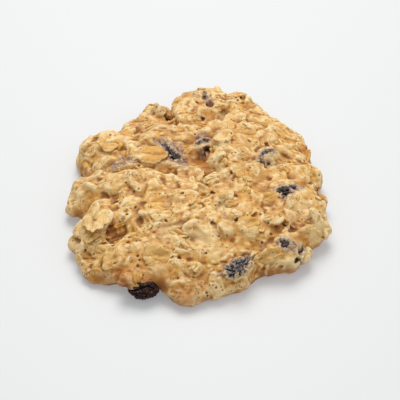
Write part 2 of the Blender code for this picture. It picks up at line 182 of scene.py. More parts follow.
RAISIN_FINENESS = 6
RAISIN_FURROWS = 7
FURROW_DEPTH = 0.26
FURROW_SHARPNESS = 0.7
FURROW_WAVER, WAVER_FINENESS = 3.2, 1.6
FOLD_DEPTH, FOLD_FINENESS = 0.14, 3.1

# Flakes that are told apart on the real one: x, y, length, width, turn, tilt, roll, standing proud.
FLAKES = (
    ("gold flake", -16.0, 8.6, 11.0, 8.4, -8, 0, 8, 0.3),
    ("round flake", -31.5, 19.0, 8.6, 8.0, 20, -8, 8, 0.2),
    ("pile, top", -35.0, -21.0, 10.5, 8.6, 60, 10, -14, 1.0),
    ("pile, right", -31.5, -23.5, 9.0, 7.0, 80, 6, -24, 1.1),
    ("pile, left", -38.0, -25.0, 9.5, 6.5, 75, -6, 20, 0.6),
    ("low flake", -27.0, -39.5, 9.5, 7.5, 70, -10, 12, 0.4),
    ("big flake", -13.0, -40.8, 9.6, 8.8, 0, -8, 0, 0.4),
    ("narrow flake", -6.0, -36.0, 7.8, 3.8, -52, 0, 24, 0.5),
    ("bright flake", 16.5, -28.0, 8.8, 7.6, 30, -6, -8, 0.6),
    ("tongue of the bright flake", 17.6, -31.0, 6.0, 3.6, 30, 0, 0, 0.8),
    ("tip flake", -0.5, -45.0, 5.4, 4.6, 70, 12, 0, 0.4),
    ("small pale flake", 6.0, -3.4, 5.2, 3.8, 20, 0, 0, 0.6),
    ("small pale tongue", 5.2, -8.0, 5.0, 2.8, 25, 14, 0, 0.7),
    ("yellow flake", 23.0, -14.5, 8.6, 4.6, 24, 0, 10, 0.2),
    ("yellow flake, right", 33.0, -17.0, 8.8, 7.2, 70, 0, 14, 0.3),
    ("oval flake", 14.5, 48.5, 9.6, 6.6, 25, 8, 0, 0.6),
    ("pointed flake", -11.2, -47.0, 7.8, 5.4, -55, -16, 0, 0.3),
    ("shoulder flake", 9.0, 15.0, 9.4, 6.4, 55, 0, 0, 0.2),
    ("back left flake", -4.0, 41.0, 9.0, 7.6, 80, 0, 6, 0.2),
    ("middle flake", 5.0, -25.0, 8.6, 6.0, -15, 0, 0, 0.2),
    ("lip flake", 24.0, -38.5, 9.8, 5.6, 18, -8, 0, 0.3),
    ("knob flake", 40.2, -7.8, 6.2, 4.8, 80, 20, 0, 0.8),
    ("upper left end", -40.0, 20.0, 8.4, 6.4, 75, 0, -16, 0.2),
)

SPREAD_FLAKES = 84
SPREAD_SEED = 20
SPREAD_TRIES = 14
ROOM_AT_RAISINS = 3.6
HEIGHT_COUNTS = 0.4
FLAKE_LENGTHS = (6.4, 10.4)
FLAKE_SLENDER = (0.58, 0.86)
FLAKE_TILT = 17.0
SIDE_FLAKE_TILT = 7.0
FLAKE_PROUD = (-0.2, 0.5)
FLAKE_POINTS = 8
FLAKE_UNEVEN = 0.25
ON_TOP = 0.6
LOWEST_FLAKE = 2.6

# ---------------------------------------------------------------- what the skin adds to that form
VOXEL = 0.34                 # cell of the remesh
SKIN_TRIANGLES = 194000      # the skin is thinned to this many

OAT_CROWN = 0.6              # rise of an oat's middle over its edge
OAT_ROOT = 1.6               # depth of its underside
OAT_LIP = 0.3                # half thickness of its edge
OAT_GROOVE = 0.45            # depth of the groove along its middle
OAT_RINGS = (0.0, 0.28, 0.5, 0.7, 0.86, 0.95, 1.0)
STEPS_BETWEEN_CORNERS = 4
CORNER_SHIFT = 0.22          # how far a corner strays along the edge, as a share of a step
CORNER_REACH = (0.88, 1.1)
OAT_CURL = (-0.35, 0.55)     # how far the two ends are bent down or up
OAT_SWAY = 0.08              # how far the groove strays from the middle, as a share of the width
OAT_RAGGED = 0.03
GROOVE_WIDTH = 0.1
BREAK_SQUEEZE = 0.12         # what is left of the length past a break

# Nicks, folds and blisters of the thin oats.
NICKS = 3
NICK_DEPTHS = (0.08, 0.22)
NICK_WIDTH = 0.12            # in radians
EDGE_WAVER = (0.2, 1.8)      # height and size
FIBRES = (0.12, 0.9, (0.3, 1.3, 0.3))    # height, size and how drawn out
BLISTERS = (0.5, 1.9)
OAT_FOLDS = (1.2, 3.4, 0.2)  # height, size and the level from which they rise
CRUMPLED_GROOVE = 0.16

# Kinds of scattered oats: spacing, density per square mm, size range, tilt, sink, seed.
SCATTERS = (
    ("half oats", 3.4, 0.02, (0.8, 1.35), 16, (0.3, 0.8), 3),
    ("oat pieces", 2.4, 0.026, (0.4, 0.8), 30, (0.05, 0.5), 11),
    ("oat crumbs", 1.6, 0.02, (0.18, 0.34), 50, (-0.05, 0.15), 29),
)

# Places with few oats, where bare dough shows: x, y, radius, how bare.
BARE_DOUGH = (
    ("middle hollow", -2.0, 7.0, 8.0, 1.0),
    ("fold beside the gold flake", -12.0, 2.0, 6.0, 0.7),
    ("front of the left shoulder", -8.0, -10.0, 7.0, 0.5),
    ("right of the big flake", -3.0, -43.0, 4.0, 0.6),
    ("under the bright flake", 20.0, -34.0, 6.0, 0.6),
    ("back fold", -4.0, 31.0, 5.0, 0.6),
    ("left shoulder", -24.0, -3.0, 9.0, 0.9),
    ("upper left flank", -14.0, 27.0, 8.0, 0.8),
    ("left of the upper left raisin", -16.0, 15.0, 4.0, 0.6),
    ("front right wall", 12.0, -50.0, 8.0, 0.7),
    ("front tongue", -4.0, -52.0, 5.0, 0.7),
)
PULLED = (1.9, 0.75, (0.24, 1.0, 1.0))    # strands of bare dough: size, height and how drawn out
STRAND_RISE = (0.4, 0.2)     # where they are cut off, and the level from which they rise
CLUMPS = (6.5, 0.6, 1.1)     # patches with more and fewer oats: size, usual share, how much it varies

# Oats that lie crisp on top: the places of their flakes in the list of all, and how crumpled.
CRISP = {0: 0.3, 5: 1.3, 6: 1.2, 7: 0.8, 8: 0.8, 9: 0.6, 10: 1.0, 11: 0.6, 12: 0.8, 13: 0.6,
         15: 0.8, 20: 1.2, 31: 1.0, 47: 1.0, 63: 1.0, 81: 1.0, 94: 1.0}
CLEAN = {0}                  # bare of dough
LIFTED = {0: 0.35, 6: 0.4}   # clearer of the dough than the rest
SUNK = {0: 0.4, 15: 0.5, 47: 0.4, 63: 0.3, 81: 0.3, 94: 0.3}    # sunk by more than the rest
CRISP_SEED = 41
CRISP_BED = 0.35             # how far the dough under them is lowered
CRISP_TIP = 0.6              # how far that bed is tipped, so that it laps over part of the edge
CRISP_SLOPE = (3.0, 11.0)    # degrees that each leans, so that one side dives into the dough
CRISP_SINK = 0.15
CRISP_BARE = (0.4, 1.0)      # how bare of dough most are
CLEAN_BARE = 1.2             # how bare the clean ones are
GRAIN_APART = 20.0           # the grain of each oat is read this much further along than the last's
CRISP_SHAPE = {"steps": 6, "rings": (0.0, 0.16, 0.32, 0.48, 0.62, 0.75, 0.86, 0.94, 1.0),
               "root": 0.25, "crown": 0.45, "lip": 0.2}

# The other whole oats, which are part of the dough's skin.
TOLD_BARE = (0.6, 0.4)       # how bare those told apart are at least, and how much more by chance
SHOWN_SHARE = 0.3            # share of the spread ones that aren't sunk
SUNK_OATS = 0.6              # how far the rest of them are sunk
SUNK_BARE = 0.6              # how bare they stay
HALVED_OATS = {26, 39, 50, 55, 56, 69, 73, 87, 91, 93, 105}    # these would stand out of the wall
HALVED = 0.5

# Shapes that are scattered: how many kinds, the first one's number and its form. Each oat in three is
# whole, and the others are broken off at one or two of these shares.
SMALL_OATS, SMALL_OAT_NUMBER = 8, 200
SMALL_OAT_SIZE = (5.0, 3.0, 0.25)    # length, width and how much wider each is than the last
SMALL_OAT_CRUMPLE = 0.7
SMALL_OAT_SHAPE = {"steps": 4, "rings": (0.0, 0.4, 0.7, 0.9, 1.0), "root": 1.1, "crown": 0.3}
BIT_KINDS, BIT_NUMBER = 6, 300
BIT_SIZE = (2.0, 1.1, 0.15)
BIT_SHAPE = {"steps": 1, "rings": (0.0, 0.7, 1.0), "root": 0.05, "crown": 0.16, "lip": 0.1,
             "groove": 0.1}
SLIVER_KINDS, SLIVER_NUMBER = 12, 400
SLIVER_LENGTH, SLIVER_WIDTHS = 5.0, (2.6, 4.2)
SLIVER_SHAPE = {"steps": 2, "rings": (0.0, 0.4, 0.75, 1.0), "root": 0.12, "crown": 0.35,
                "lip": 0.12, "groove": 0.3}
OAT_BREAK, SLIVER_BREAK = 0.3, 0.35
CRUMB_KINDS, CRUMB_NUMBER = 6, 500
CRUMB_WIDTHS, CRUMB_HEIGHTS = (0.55, 0.95), (0.35, 0.7)
CRUMB_DENTS = (0.35, 0.45)   # height and size

# Lumps of dough that close up places of the core: x, y, z, then half sizes and turn. The place in
# the list sets how a lump is dented.
FILLING_DENTS = (0.35, 0.8)  # height and size
LUMP_FINENESS = 4
FILLINGS = (
    ("hump beside the notch", -13.4, 37.6, 6.4, 3.4, 4.6, 5.8, -12),
    ("peak of the hump", -15.2, 38.6, 8.0, 2.0, 2.8, 5.1, -12),
    ("upper left flank", -22.0, 29.8, 6.0, 7.0, 4.2, 5.0, 42),
    ("gap beside the shoulder", 6.2, 2.2, 11.0, 2.6, 2.6, 2.0, 0),
    ("under the pile flake", -35.0, -31.5, 6.2, 4.6, 4.2, 3.0, 20),
    ("floor of the back notch", -9.6, 36.6, 3.8, 3.2, 4.4, 4.0, 0),
    ("right of the middle raisin", 7.0, 14.0, 10.0, 4.2, 6.0, 3.2, 10),
    ("left of the middle raisin", -2.2, 14.6, 8.8, 4.6, 5.6, 2.8, 0),
    ("knob over the middle raisin", 1.6, 24.4, 11.2, 1.7, 1.4, 1.4, 0),
    ("wall under the haunch's lip", 25.5, -37.5, 1.8, 7.0, 3.6, 1.7, 14),
    ("lip over the front raisin", -20.2, -46.6, 6.4, 5.4, 4.4, 2.0, 14),
    ("lip over it, right end", -15.4, -45.6, 6.8, 4.0, 4.0, 2.0, -20),
    ("flank's edge", -23.6, 34.4, 6.4, 3.6, 2.8, 2.8, 40),
    ("back right corner", 22.2, 43.6, 7.6, 2.6, 2.4, 2.4, -40),
    ("knob's edge", 43.0, -6.6, 4.4, 2.2, 3.2, 2.8, 0),
    ("haunch's edge", 42.2, -21.4, 4.6, 2.4, 4.8, 3.0, 8),
    ("left edge under the pile", -39.6, -26.8, 3.2, 3.2, 4.4, 2.9, 0),
    ("left bulge's edge", -43.0, -8.2, 4.0, 2.4, 4.2, 2.8, 0),
    ("lower left foot", -30.4, -42.5, 1.2, 6.2, 2.6, 1.6, -12),
    ("front tongue, right foot", 4.0, -50.4, 1.2, 4.2, 1.9, 1.3, 8),
    ("front tongue, left foot", -6.2, -51.4, 1.1, 2.8, 1.9, 1.3, 0),
)

# Tones of the oats that are told apart, from yellow (0) to cream (1), by the same places.
TONES = {0: 0.0, 1: 0.35, 2: 0.5, 3: 0.6, 4: 0.4, 5: 0.4, 6: 0.3, 7: 0.7, 8: 0.2, 9: 1.0, 10: 0.5,
         11: 1.0, 12: 0.9, 13: 0.1, 15: 0.5, 20: 0.45}

# More crisp oats, each where the camera sees it: pixels across and down, length, width, turn, tilt,
# roll, how proud of the skin, how crumpled and its tone. These are turned from the level.
CHIPS = (
    ("pile flake, lower", 92, 237, 6.8, 4.8, 64, -4, -8, 0.7, 0.8, 0.8),
    ("pile flake", 95, 222, 12.4, 9.0, 82, -4, -12, 1.0, 0.8, 0.8),
    ("round flake", 109, 144, 8.0, 7.4, 20, -4, 4, 0.2, 0.5, 0.35),
    ("orange strip", 307, 157, 7.0, 3.0, 80, 10, -30, 0.3, 0.6, 0.0),
    ("white chip", 267.5, 219.5, 3.4, 2.4, 10, 10, 10, 0.5, 0.4, 1.0),
    ("pale chip under the lip", 273, 265, 3.0, 1.6, 20, 20, 20, 0.4, 0.6, 1.0),
    ("small pale tongue", 231, 204, 4.8, 2.6, 25, -10, 0, 0.5, 0.6, 1.0),
    ("tip with a white rim", 196, 268, 4.4, 2.8, 60, 20, 20, 0.4, 0.8, 0.9),
    ("sliver in the left cavity", 119, 226, 4.0, 1.8, 20, 0, 20, 0.2, 0.6, 0.0),
    ("pale bit under the shoulder", 211, 180, 4.6, 3.0, 30, 10, 10, 0.2, 0.8, 0.9),
    ("right of the bright flake", 251, 212, 5.0, 4.0, 80, 10, -10, 0.2, 0.9, 0.5),
    ("cream piece in the middle", 195, 209, 5.2, 3.4, 10, 6, 0, 0.2, 1.0, 1.0),
    ("long piece over the narrow flake", 178, 234, 8.0, 3.4, -30, 6, 10, 0.3, 0.9, 0.7),
    ("bit under the pile", 98, 242, 3.2, 2.2, 40, 10, 10, 0.3, 0.7, 1.0),
    ("bit beside it", 90, 246, 2.6, 2.0, -20, 8, -10, 0.3, 0.7, 0.6),
)

# Bits of oat and crumbs on the skin: spacing, density, sizes, tilt, sink, seed.
SLIVERS = (2.6, 0.02, (0.6, 1.2), 18, (0.1, 0.5), 13)
BITS = (1.6, 0.03, (0.4, 1.0), 24, (0.02, 0.2), 5)
CRUMBS = (0.5, 0.1, (0.2, 0.55), 60, (0.0, 0.18), 7)

# What they take from the skin under them, or from the scatter itself.
INHERITED = ("tone", "bare", "oat", "toast", "stain", "hollow", "edge")

# Films of dough over the skin: how many, how far crevices fill up and how far edges wear.
THICK_FILM = (18, 0.92, 0.11)
BAKED_FILM = (2, 0.5, 0.16)
LAST_FILM = (1, 0.2, 0.2)
FILM_SLIDE = 0.5             # how far points even out along the skin

# Rough of the skin, each a size and a height: soft bumps, creases between lumps, and ledges like
# the edges of flakes that lie on each other, with how many ledges a rise is cut into.
SOFT = ((6.0, 0.5), (3.0, 0.25), (0.9, 0.05))
CREASES = ((4.4, 0.7), (1.9, 0.08))
LEDGES = ((5.4, 1.0, 2.2),)
LEDGE_RISE = (0.25, 0.75)    # between which parts of a ledge it rises
CREASE_RISE = (0.4, 0.17)    # where the lumps are cut off, and the level from which they rise
WARP = ((5.0, 1.4), (2.0, 0.5))    # how the creases and ledges are drawn about: size and reach
ROUGH_OATS = 0.5             # the share of that roughness on the oats themselves
ROUGH_UNDERSIDE = 0.15       # and on the underside, up to these heights
ROUGH_HEIGHTS = (0.1, 1.2)
CRUMB_SEED = np.array((8.3, 1.9, 4.4))

# Places that the films over the raisins would fill up, set down again: x, y, radius, depth. It
# fades out below these heights.
SET_DOWN_HEIGHTS = (2.0, 6.0)
SET_DOWN = (
    ("middle hollow", 0.5, 8.0, 5.6, 0.9),
    ("left cavity", -27.6, -28.0, 3.4, 0.3),
    ("fold above the left shoulder", -12.0, 2.4, 4.0, 0.8),
)

# The wall is drawn in at the foot by so much, up to such a height, and more under some lips, each
# with its angle, spread, how far and how high.
FOOT_DRAWN = 0.5
FOOT_HEIGHT = 1.8
FOOT_REACHES = (20.0, 34.0)  # how far from the middle this begins, and where it is full
LIPS = (
    ("haunch", 307, 10, 0.2, 4.2),
    ("over the front raisin", 243, 5, 1.3, 4.0),
    ("right of the front raisin", 256, 3.5, 1.2, 4.0),
    ("left bulge", 192, 8, 1.0, 3.0),
)

# The tables from here to LET_DOWN give places as the camera sees them, by region: pixels across and
# down, a radius and one value more, which only the openings go without.

# Pits and small hollows, with their depth.
PITS = {
    "back notch": ((166, 115, 0.72, 1.53), (168.5, 118.5, 0.86, 1.87)),
    "upper left crease": ((148, 125.5, 0.43, 0.68), (145, 129, 0.5, 0.85), (141.5, 132, 0.58, 0.94)),
    "back lobe": ((197, 102, 0.5, 0.94), (203, 118, 0.86, 1.27), (238, 100, 0.43, 0.68),
        (221.5, 101, 0.36, 0.59)),
    "under the middle raisins": ((207.5, 150.5, 1.15, 1.36), (177.5, 155.5, 0.86, 0.85)),
    "right shoulder": ((226.5, 159, 0.43, 0.77), (232, 152.5, 0.29, 0.51), (267, 144.5, 0.79, 0.85),
        (259.5, 163, 0.58, 0.85)),
    "left shoulder": ((115, 202, 0.94, 0.85), (123, 197.5, 0.29, 0.51)),
    "middle": ((182.5, 192.5, 0.43, 0.85), (165, 193, 0.29, 0.59), (212, 192, 0.72, 1.27),
        (189.5, 205.5, 0.29, 0.51), (166, 220.5, 0.43, 0.85)),
    "left cavity": ((111, 226, 0.6, 1.1), (109, 232, 0.6, 1.2), (108, 240, 0.5, 1.0),
        (116, 234, 0.45, 0.9), (121, 238, 0.4, 0.8), (113, 245, 0.4, 0.8), (127.5, 242.5, 0.36, 0.68)),
    "big flake": ((137.5, 256, 0.36, 0.59), (179, 257.5, 0.5, 0.85), (114.5, 264, 0.5, 0.85),
        (206, 253, 0.43, 0.77)),
    "bright flake": ((232, 214, 0.72, 0.85), (237, 219.5, 0.86, 1.02), (212, 222, 0.79, 0.77)),
    "haunch": ((285, 224.5, 0.79, 1.1), (292.5, 228, 1.3, 0.85), (271, 234, 0.36, 0.59),
        (262, 242.5, 0.36, 0.59), (265, 212, 0.5, 0.68)),
}
PIT_RAGGED = (0.8, 0.9)      # how uneven, and at what size
LET_DOWN_RAGGED = (0.5, 3.0)
PIT_REACH = 2.2              # a pit fades out within so many of its radii
PORES = 120
PORE_SIZES = (0.24, 0.42)
PORE_DEPTHS = (0.4, 0.8)
PORE_LOWEST = 1.5
PORE_SEED = 6

# The camera: what it looks at in the plan, how far from it, how high and how large its picture.
CAMERA_AIM = (0.83, -7.66, 6.0)
CAMERA_DISTANCE = 420.0
CAMERA_ELEVATION = 40.0
PIXELS_PER_MM = 2.9
IMAGE_SIDE = 400.0
SENSOR = 36.0
CLIPPING = (0.01, 10.0)

# Openings over the raisins.
WINDOWS = {
    "raisin_upper_left": ((161, 141, 0.6), (164, 144, 0.9), (167, 147.5, 1.15), (170.5, 151, 1.15),
                          (175, 155.5, 1.35), (179.5, 156, 1.0)),
    "raisin_left": ((133, 161, 0.6),),
    "raisin_middle": ((206, 139, 1.2), (198.5, 142.5, 0.6), (207.5, 151.5, 1.2)),
    "raisin_upper_right": ((263, 154, 0.5), (266, 152, 0.6), (270, 151, 0.6), (274, 150.5, 0.5),
                           (260, 161.5, 0.6), (263, 164, 0.6), (268, 165, 0.5)),
    "raisin_right": ((282.5, 189, 1.7), (286, 192.5, 1.5), (294.5, 188, 1.5)),
    "raisin_haunch": ((284, 243, 1.4), (288, 242, 0.6)),
    "raisin_edge": ((301, 250, 0.9), (299, 261, 0.7)),
    "raisin_lower_right": ((232, 270, 2.0), (238, 266, 2.2), (244, 261, 1.9), (248, 258, 1.3)),
    "raisin_back": ((204, 96.5, 0.85),),
}

# Places where a raisin only shows through its film, with their strength.
SHADOWS = {
    "upper left raisin": ((165, 140, 1.5, 0.5), (175, 147, 2.6, 1.0), (166, 147, 2.4, 1.0),
        (161.5, 142.5, 1.6, 0.6), (170, 144, 1.8, 0.6), (181, 151, 2.0, 1.0), (183, 162, 2.4, 0.7)),
    "left raisin": ((130, 159, 1.8, 0.8), (123, 161, 2.4, 0.7), (115, 165, 2.2, 0.7)),
    "middle raisin": ((203, 139, 2.2, 1.0), (203, 154, 2.0, 0.8)),
    "upper right raisin": ((268, 158, 2.6, 0.4), (262, 156, 1.6, 0.4), (276, 163, 1.6, 0.5)),
    "right raisin": ((289, 189, 1.8, 0.9), (286, 197, 1.6, 0.6)),
    "haunch's raisin": ((286, 249, 1.7, 0.8), (292, 246, 1.9, 0.9)),
    "back raisin": ((208, 99.5, 1.7, 0.8), (211, 104, 1.5, 0.6)),
    "lower right raisin": ((235, 275, 1.6, 0.7),),
}

# Browner places and painted shade under lips, in clefts and beside raisins, with their strength.
BROWN_AND_SHADE = {
    "under the haunch's lip": ((262, 275, 2.0, 1.0), (270, 273, 2.0, 1.0), (279, 271.5, 2.0, 1.0),
        (288, 269.5, 1.8, 0.9)),
    "front raisin": ((150, 281, 3.0, 1.0), (162, 286, 3.0, 1.0)),
    "lower left rim": ((120, 272, 3.0, 0.9), (98, 280, 3.2, 0.9), (122, 284, 3.0, 1.0),
        (84, 268, 2.4, 0.4)),
    "round the middle hollow": ((205, 167, 2.8, 0.8), (217, 178, 3.2, 0.5), (194, 138, 3.4, 0.55)),
    "round the upper left raisin": ((168, 130, 3.0, 0.45), (164, 152, 2.0, 0.8)),
    "right of the right raisin": ((303, 184, 2.4, 0.7),),
    "right of the haunch's raisin": ((301, 237, 2.6, 0.8),),
    "front tongue": ((206, 302, 2.8, 0.8), (186, 300, 3.4, 0.6), (178, 307, 2.4, 0.9)),
    "left cavity": ((113, 231, 2.6, 0.6),),
    "left bulge's edge": ((73, 199, 2.0, 0.3),),
    "upper left knob's foot": ((84, 167, 2.2, 0.8),),
}

# Clefts painted dark, as the shade in them, with their strength.
SHADED_CLEFTS = {
    "front raisin": ((162, 286, 2.2, 0.9), (123, 281, 1.6, 1.0), (127, 285, 1.8, 1.0)),
    "under the haunch's lip": ((262, 275, 2.0, 0.6), (270, 273, 2.0, 0.6)),
    "between the gold flake and the raisin": ((164.5, 152.5, 1.0, 0.9),),
    "right of the right raisin": ((303, 184, 1.8, 0.5),),
    "left cavity": ((110, 231, 1.6, 0.7),),
}

# Lighter places of the top, partly lighter dough and partly painted light where the form lies in shade,
# with their strength.
PALE_AND_LIT = {
    "over the bright flake": ((225, 208, 3.0, 0.9),),
    "haunch": ((303, 209, 3.4, 1.0), (318, 228, 4.0, 0.7)),
    "right shoulder": ((288, 165, 3.0, 0.4),),
    "under the haunch's lip": ((282, 259, 3.0, 1.0), (277, 257, 2.4, 0.8)),
    "front dome": ((170, 230, 4.0, 0.7), (203, 236, 4.6, 1.0)),
    "middle hollow": ((221, 144, 3.2, 0.9), (203.5, 145.5, 1.6, 0.6), (194, 156, 2.0, 0.5)),
    "foot of the shoulder": ((220, 171, 2.4, 0.9),),
    "left shoulder": ((110, 176, 4.0, 0.5), (145, 172, 4.0, 0.3)),
    "left bulge": ((78, 196, 3.2, 0.9),),
    "pile of flakes": ((95, 242, 3.6, 1.0), (73, 246, 2.6, 0.9), (77, 232, 2.4, 0.7)),
    "upper left end": ((80, 150, 3.0, 0.8),),
    "hump": ((152, 112, 3.0, 0.4),),
    "over the front tongue": ((216, 289, 3.0, 0.8),),
    "foot of the back lobe": ((222, 118, 3.0, 0.8),),
    "middle": ((172, 204, 3.6, 0.4),),
}

# Places where the dough is let down so that an opening is seen, with how far.
LET_DOWN = {
    "over the middle raisin": ((206, 138, 2.4, 1.3),),
    "left cavity": ((113, 231, 3.0, 0.5),),
    "upper right raisin": ((266, 165, 1.4, 0.7), (274, 151, 1.0, 0.6)),
    "haunch's edge": ((301, 250, 1.1, 2.6), (299, 261, 1.0, 2.6)),
    "back raisin": ((204, 96.5, 1.1, 1.8), (209.5, 104, 1.2, 2.2)),
    "lower right raisin": ((248, 258, 1.3, 1.2), (252, 264, 2.0, 1.3)),
    "notches at the knob": ((322, 189, 2.2, 2.2), (326, 212, 1.8, 1.6)),
    "groove under the haunch's lip": ((264, 269, 1.0, 0.9), (272, 268, 1.0, 1.0), (281, 267, 1.0, 0.9)),
    "flank's top": ((143, 110, 2.4, 0.8),),
    "over the right tooth": ((314, 165, 2.0, 1.3),),
}
SEEN_WAVER = (0.6, 2.6)      # how uneven the edges of all these places are, and at what size

# The raisins, and the dough's films over them. How far out the skin lies over a raisin is given as a
# share of the raisin's radius.
BLOOM_AND_SHEEN = {"raisin_front": 0.0, "raisin_lower_right": 0.9}    # how much bluish bloom and painted sheen
USUAL_BLOOM_AND_SHEEN = 0.3
BARE_RAISINS = ("raisin_front",)
BARE_SHINE, FILMED_SHINE = 0.16, 0.5
WRINKLES = ((4.6, 2.0, 0.24), (9.5, 3.0, 0.24), (17.0, 4.0, 0.1))    # fineness, seed and height
WRINKLE_TOP, WRINKLE_DROP = 0.3, 0.12    # where they are cut off, and how far all is set in
RAISIN_TRIANGLES = 19000
WINDOW_SOFT = 0.4
WINDOW_RAGGED = ((1.3, 0.5), (0.6, 0.6))
WINDOW_DEPTH = 0.5           # inside an opening
FILM = 1.06                  # over the rest of the raisin
FILM_BELOW = 0.55            # skin that lies deeper than this isn't brought out to the film
NEAR_RAISIN = 1.9            # nothing changes further out than this
OPEN_FADE = (1.4, 1.8)       # the openings fade between these
STAIN_FADE = (1.3, 1.8)      # and the stains between these
STAIN_REACH, STAIN_FULL = 1.9, 0.2    # how far the stain runs from an opening, and where it is full
STREAKS = (0.45, (0.28, 1.0, 1.0))    # dark streaks in the films: size and how drawn out
STREAK_LEAN = (8.0, 0.0, 10.0)        # how they are turned
FINE_STREAKS = 0.6
COLLARED = ("raisin_left", "raisin_upper_right", "raisin_right", "raisin_back", "raisin_haunch")
COLLAR = (1.3, 1.3, 0.86)    # the dough's mound round a raisin, as shares of the raisin
COLLAR_DROP = 0.4            # how far it lies below the raisin's middle
FAR = 9.0                    # further than anything that is looked for

# Browned places, and painted shade in hollows, folds and beside raisins: middle (x, y), radius,
# strength.
BROWNED_AND_SHADED = (
    ("left notch", -40.6, 6.5, 2.6, 0.9),
    ("brown hollow", -40.6, -14.0, 3.0, 0.9),
    ("lower left edge", -41.0, -28.0, 3.4, 0.7),
    ("lower left rim", -31.0, -49.0, 7.5, 0.75),
    ("lip over the front raisin", -20.0, -49.0, 4.0, 0.6),
    ("wall beside the raisin", -10.0, -47.0, 4.5, 0.5),
    ("back rim", -4.0, 50.0, 9.0, 0.5),
    ("front tongue", -5.0, -53.6, 5.0, 0.6),
    ("front right edge", 14.0, -50.0, 7.0, 0.3),
    ("orange strip", 39.3, 17.4, 4.0, 0.8),
    ("knob", 43.0, -9.3, 3.0, 0.7),
    ("middle hollow", 0.5, 9.0, 6.5, 0.75),
    ("beside the middle raisin", 7.0, 19.5, 4.0, 0.5),
    ("upper left flank", -16.0, 29.0, 8.0, 0.4),
    ("between gold flake and raisin", -12.0, 6.0, 5.0, 0.45),
    ("back fold", 4.0, 33.0, 6.0, 0.5),
    ("right of the pore ring", 32.0, -25.0, 4.5, 0.55),
    ("by the small tongue", 4.0, -10.5, 4.0, 0.4),
    ("left of the upper left raisin", -17.0, 16.0, 5.0, 0.4),
    ("over the middle hollow", -1.0, 17.0, 3.5, 0.4),
    ("haunch, by the raisin", 34.0, -26.0, 4.0, 0.5),
    ("wall over the front raisin", -18.0, -46.0, 6.0, 0.5),
    ("lower left lobe", -27.0, -43.0, 4.5, 0.5),
    ("front right of the tongue", 2.0, -49.0, 5.0, 0.5),
)
BROWN_WAVER = (0.5, 5.0)     # how uneven their edges are, and at what size
# Painted shade in the folds, at most this strong.
FOLD_SHADE = 0.35
FOLD_HEIGHTS = (3.0, 6.0)    # the folds are painted darker, as shade, from these heights up
FOLD_DEEPEST = 3.0           # a fold of this depth is painted dark in full
FOLD_SPREAD = 1.2            # and over so many of its half widths
PALE_CLEARS = 0.85           # how much of the browning and painted shade a place of painted light loses
TOAST_HEIGHTS = (0.2, 3.52)  # the underside's browning fades between these heights
RIM_FACING = 0.35            # the rim is made browner and darker where it faces lower than this, fading at these heights
RIM_FACING_FULL = 0.9
RIM_HEIGHTS = (2.5, 6.5)
RIM_BROWN = 0.85

# What is kept on the skin's points for its finish and for the scatter.
OAT_COVERED = (0.1, 0.5)     # a point this near an oat's face belongs to the oat
OAT_SEARCH = 1.5
# The edges and hollows found here are painted lighter and darker, as highlight and shade.
EDGE_ROUNDS = 3              # how often the skin is smoothed to find its sharp edges
HOLLOW_ROUNDS = ((12, 1.0), (60, 0.75))    # the same for its hollows, fine and broad, and their weights
RAISIN_HOLLOW_ROUNDS = 30
CLEFT = 0.55                 # how deep a pit a cleft's painted shade looks
DEEPEST_PIT = 1.5
CORE_FACING = (0.0, 0.4)     # oats are scattered on the core where it faces up this much
SKIN_FACING = (0.3, 0.6)     # and bits on the skin
STAIN_CLEARS, PIT_CLEARS = 1.4, 2.0    # how soon stains and pits keep the bits off

# ---------------------------------------------------------------- colours, as 0 to 255 on a screen
COLOURS = {
    "tan dough": (208, 161, 92),
    "golden dough": (217, 165, 78),
    # orange patches of the dough, and warm painted shade in its hollows
    "orange dough": (197, 128, 42),
    # painted light on the lighter places of the top
    "pale dough": (239, 208, 152),
    "cream oat": (238, 209, 150),
    "yellow oat": (220, 165, 76),
    "oat groove": (170, 116, 50),
    # painted shade in hollows, crevices, clefts and pits, and the colour of the hairline cracks
    "crevice": (116, 64, 8),
    # browning, also laid as painted shade under lips, in folds and beside raisins
    "toasted": (180, 114, 40),
    # deep browning, also the darkest painted shade under lips and in clefts
    "deep toasted": (118, 66, 24),
    # painted highlight on crests, sharp edges and the rims of oats
    "edge highlight": (241, 222, 176),
    "raisin stain": (118, 90, 86),
    "raisin film": (176, 150, 140),
    "film streak": (60, 38, 36),
    # dark specks, and painted shade deep in the pits
    "speck": (72, 40, 10),
    "raisin skin": (19, 12, 16),
    # painted highlight on the ridges of the wrinkles
    "raisin ridge highlight": (42, 29, 35),
    "raisin glint": (156, 110, 78),
    # bluish bloom, and a painted sheen on the ridges
    "raisin bloom and sheen": (148, 144, 144),
    "raisin brown": (46, 22, 16),
    "floor": (188, 190, 193),
}

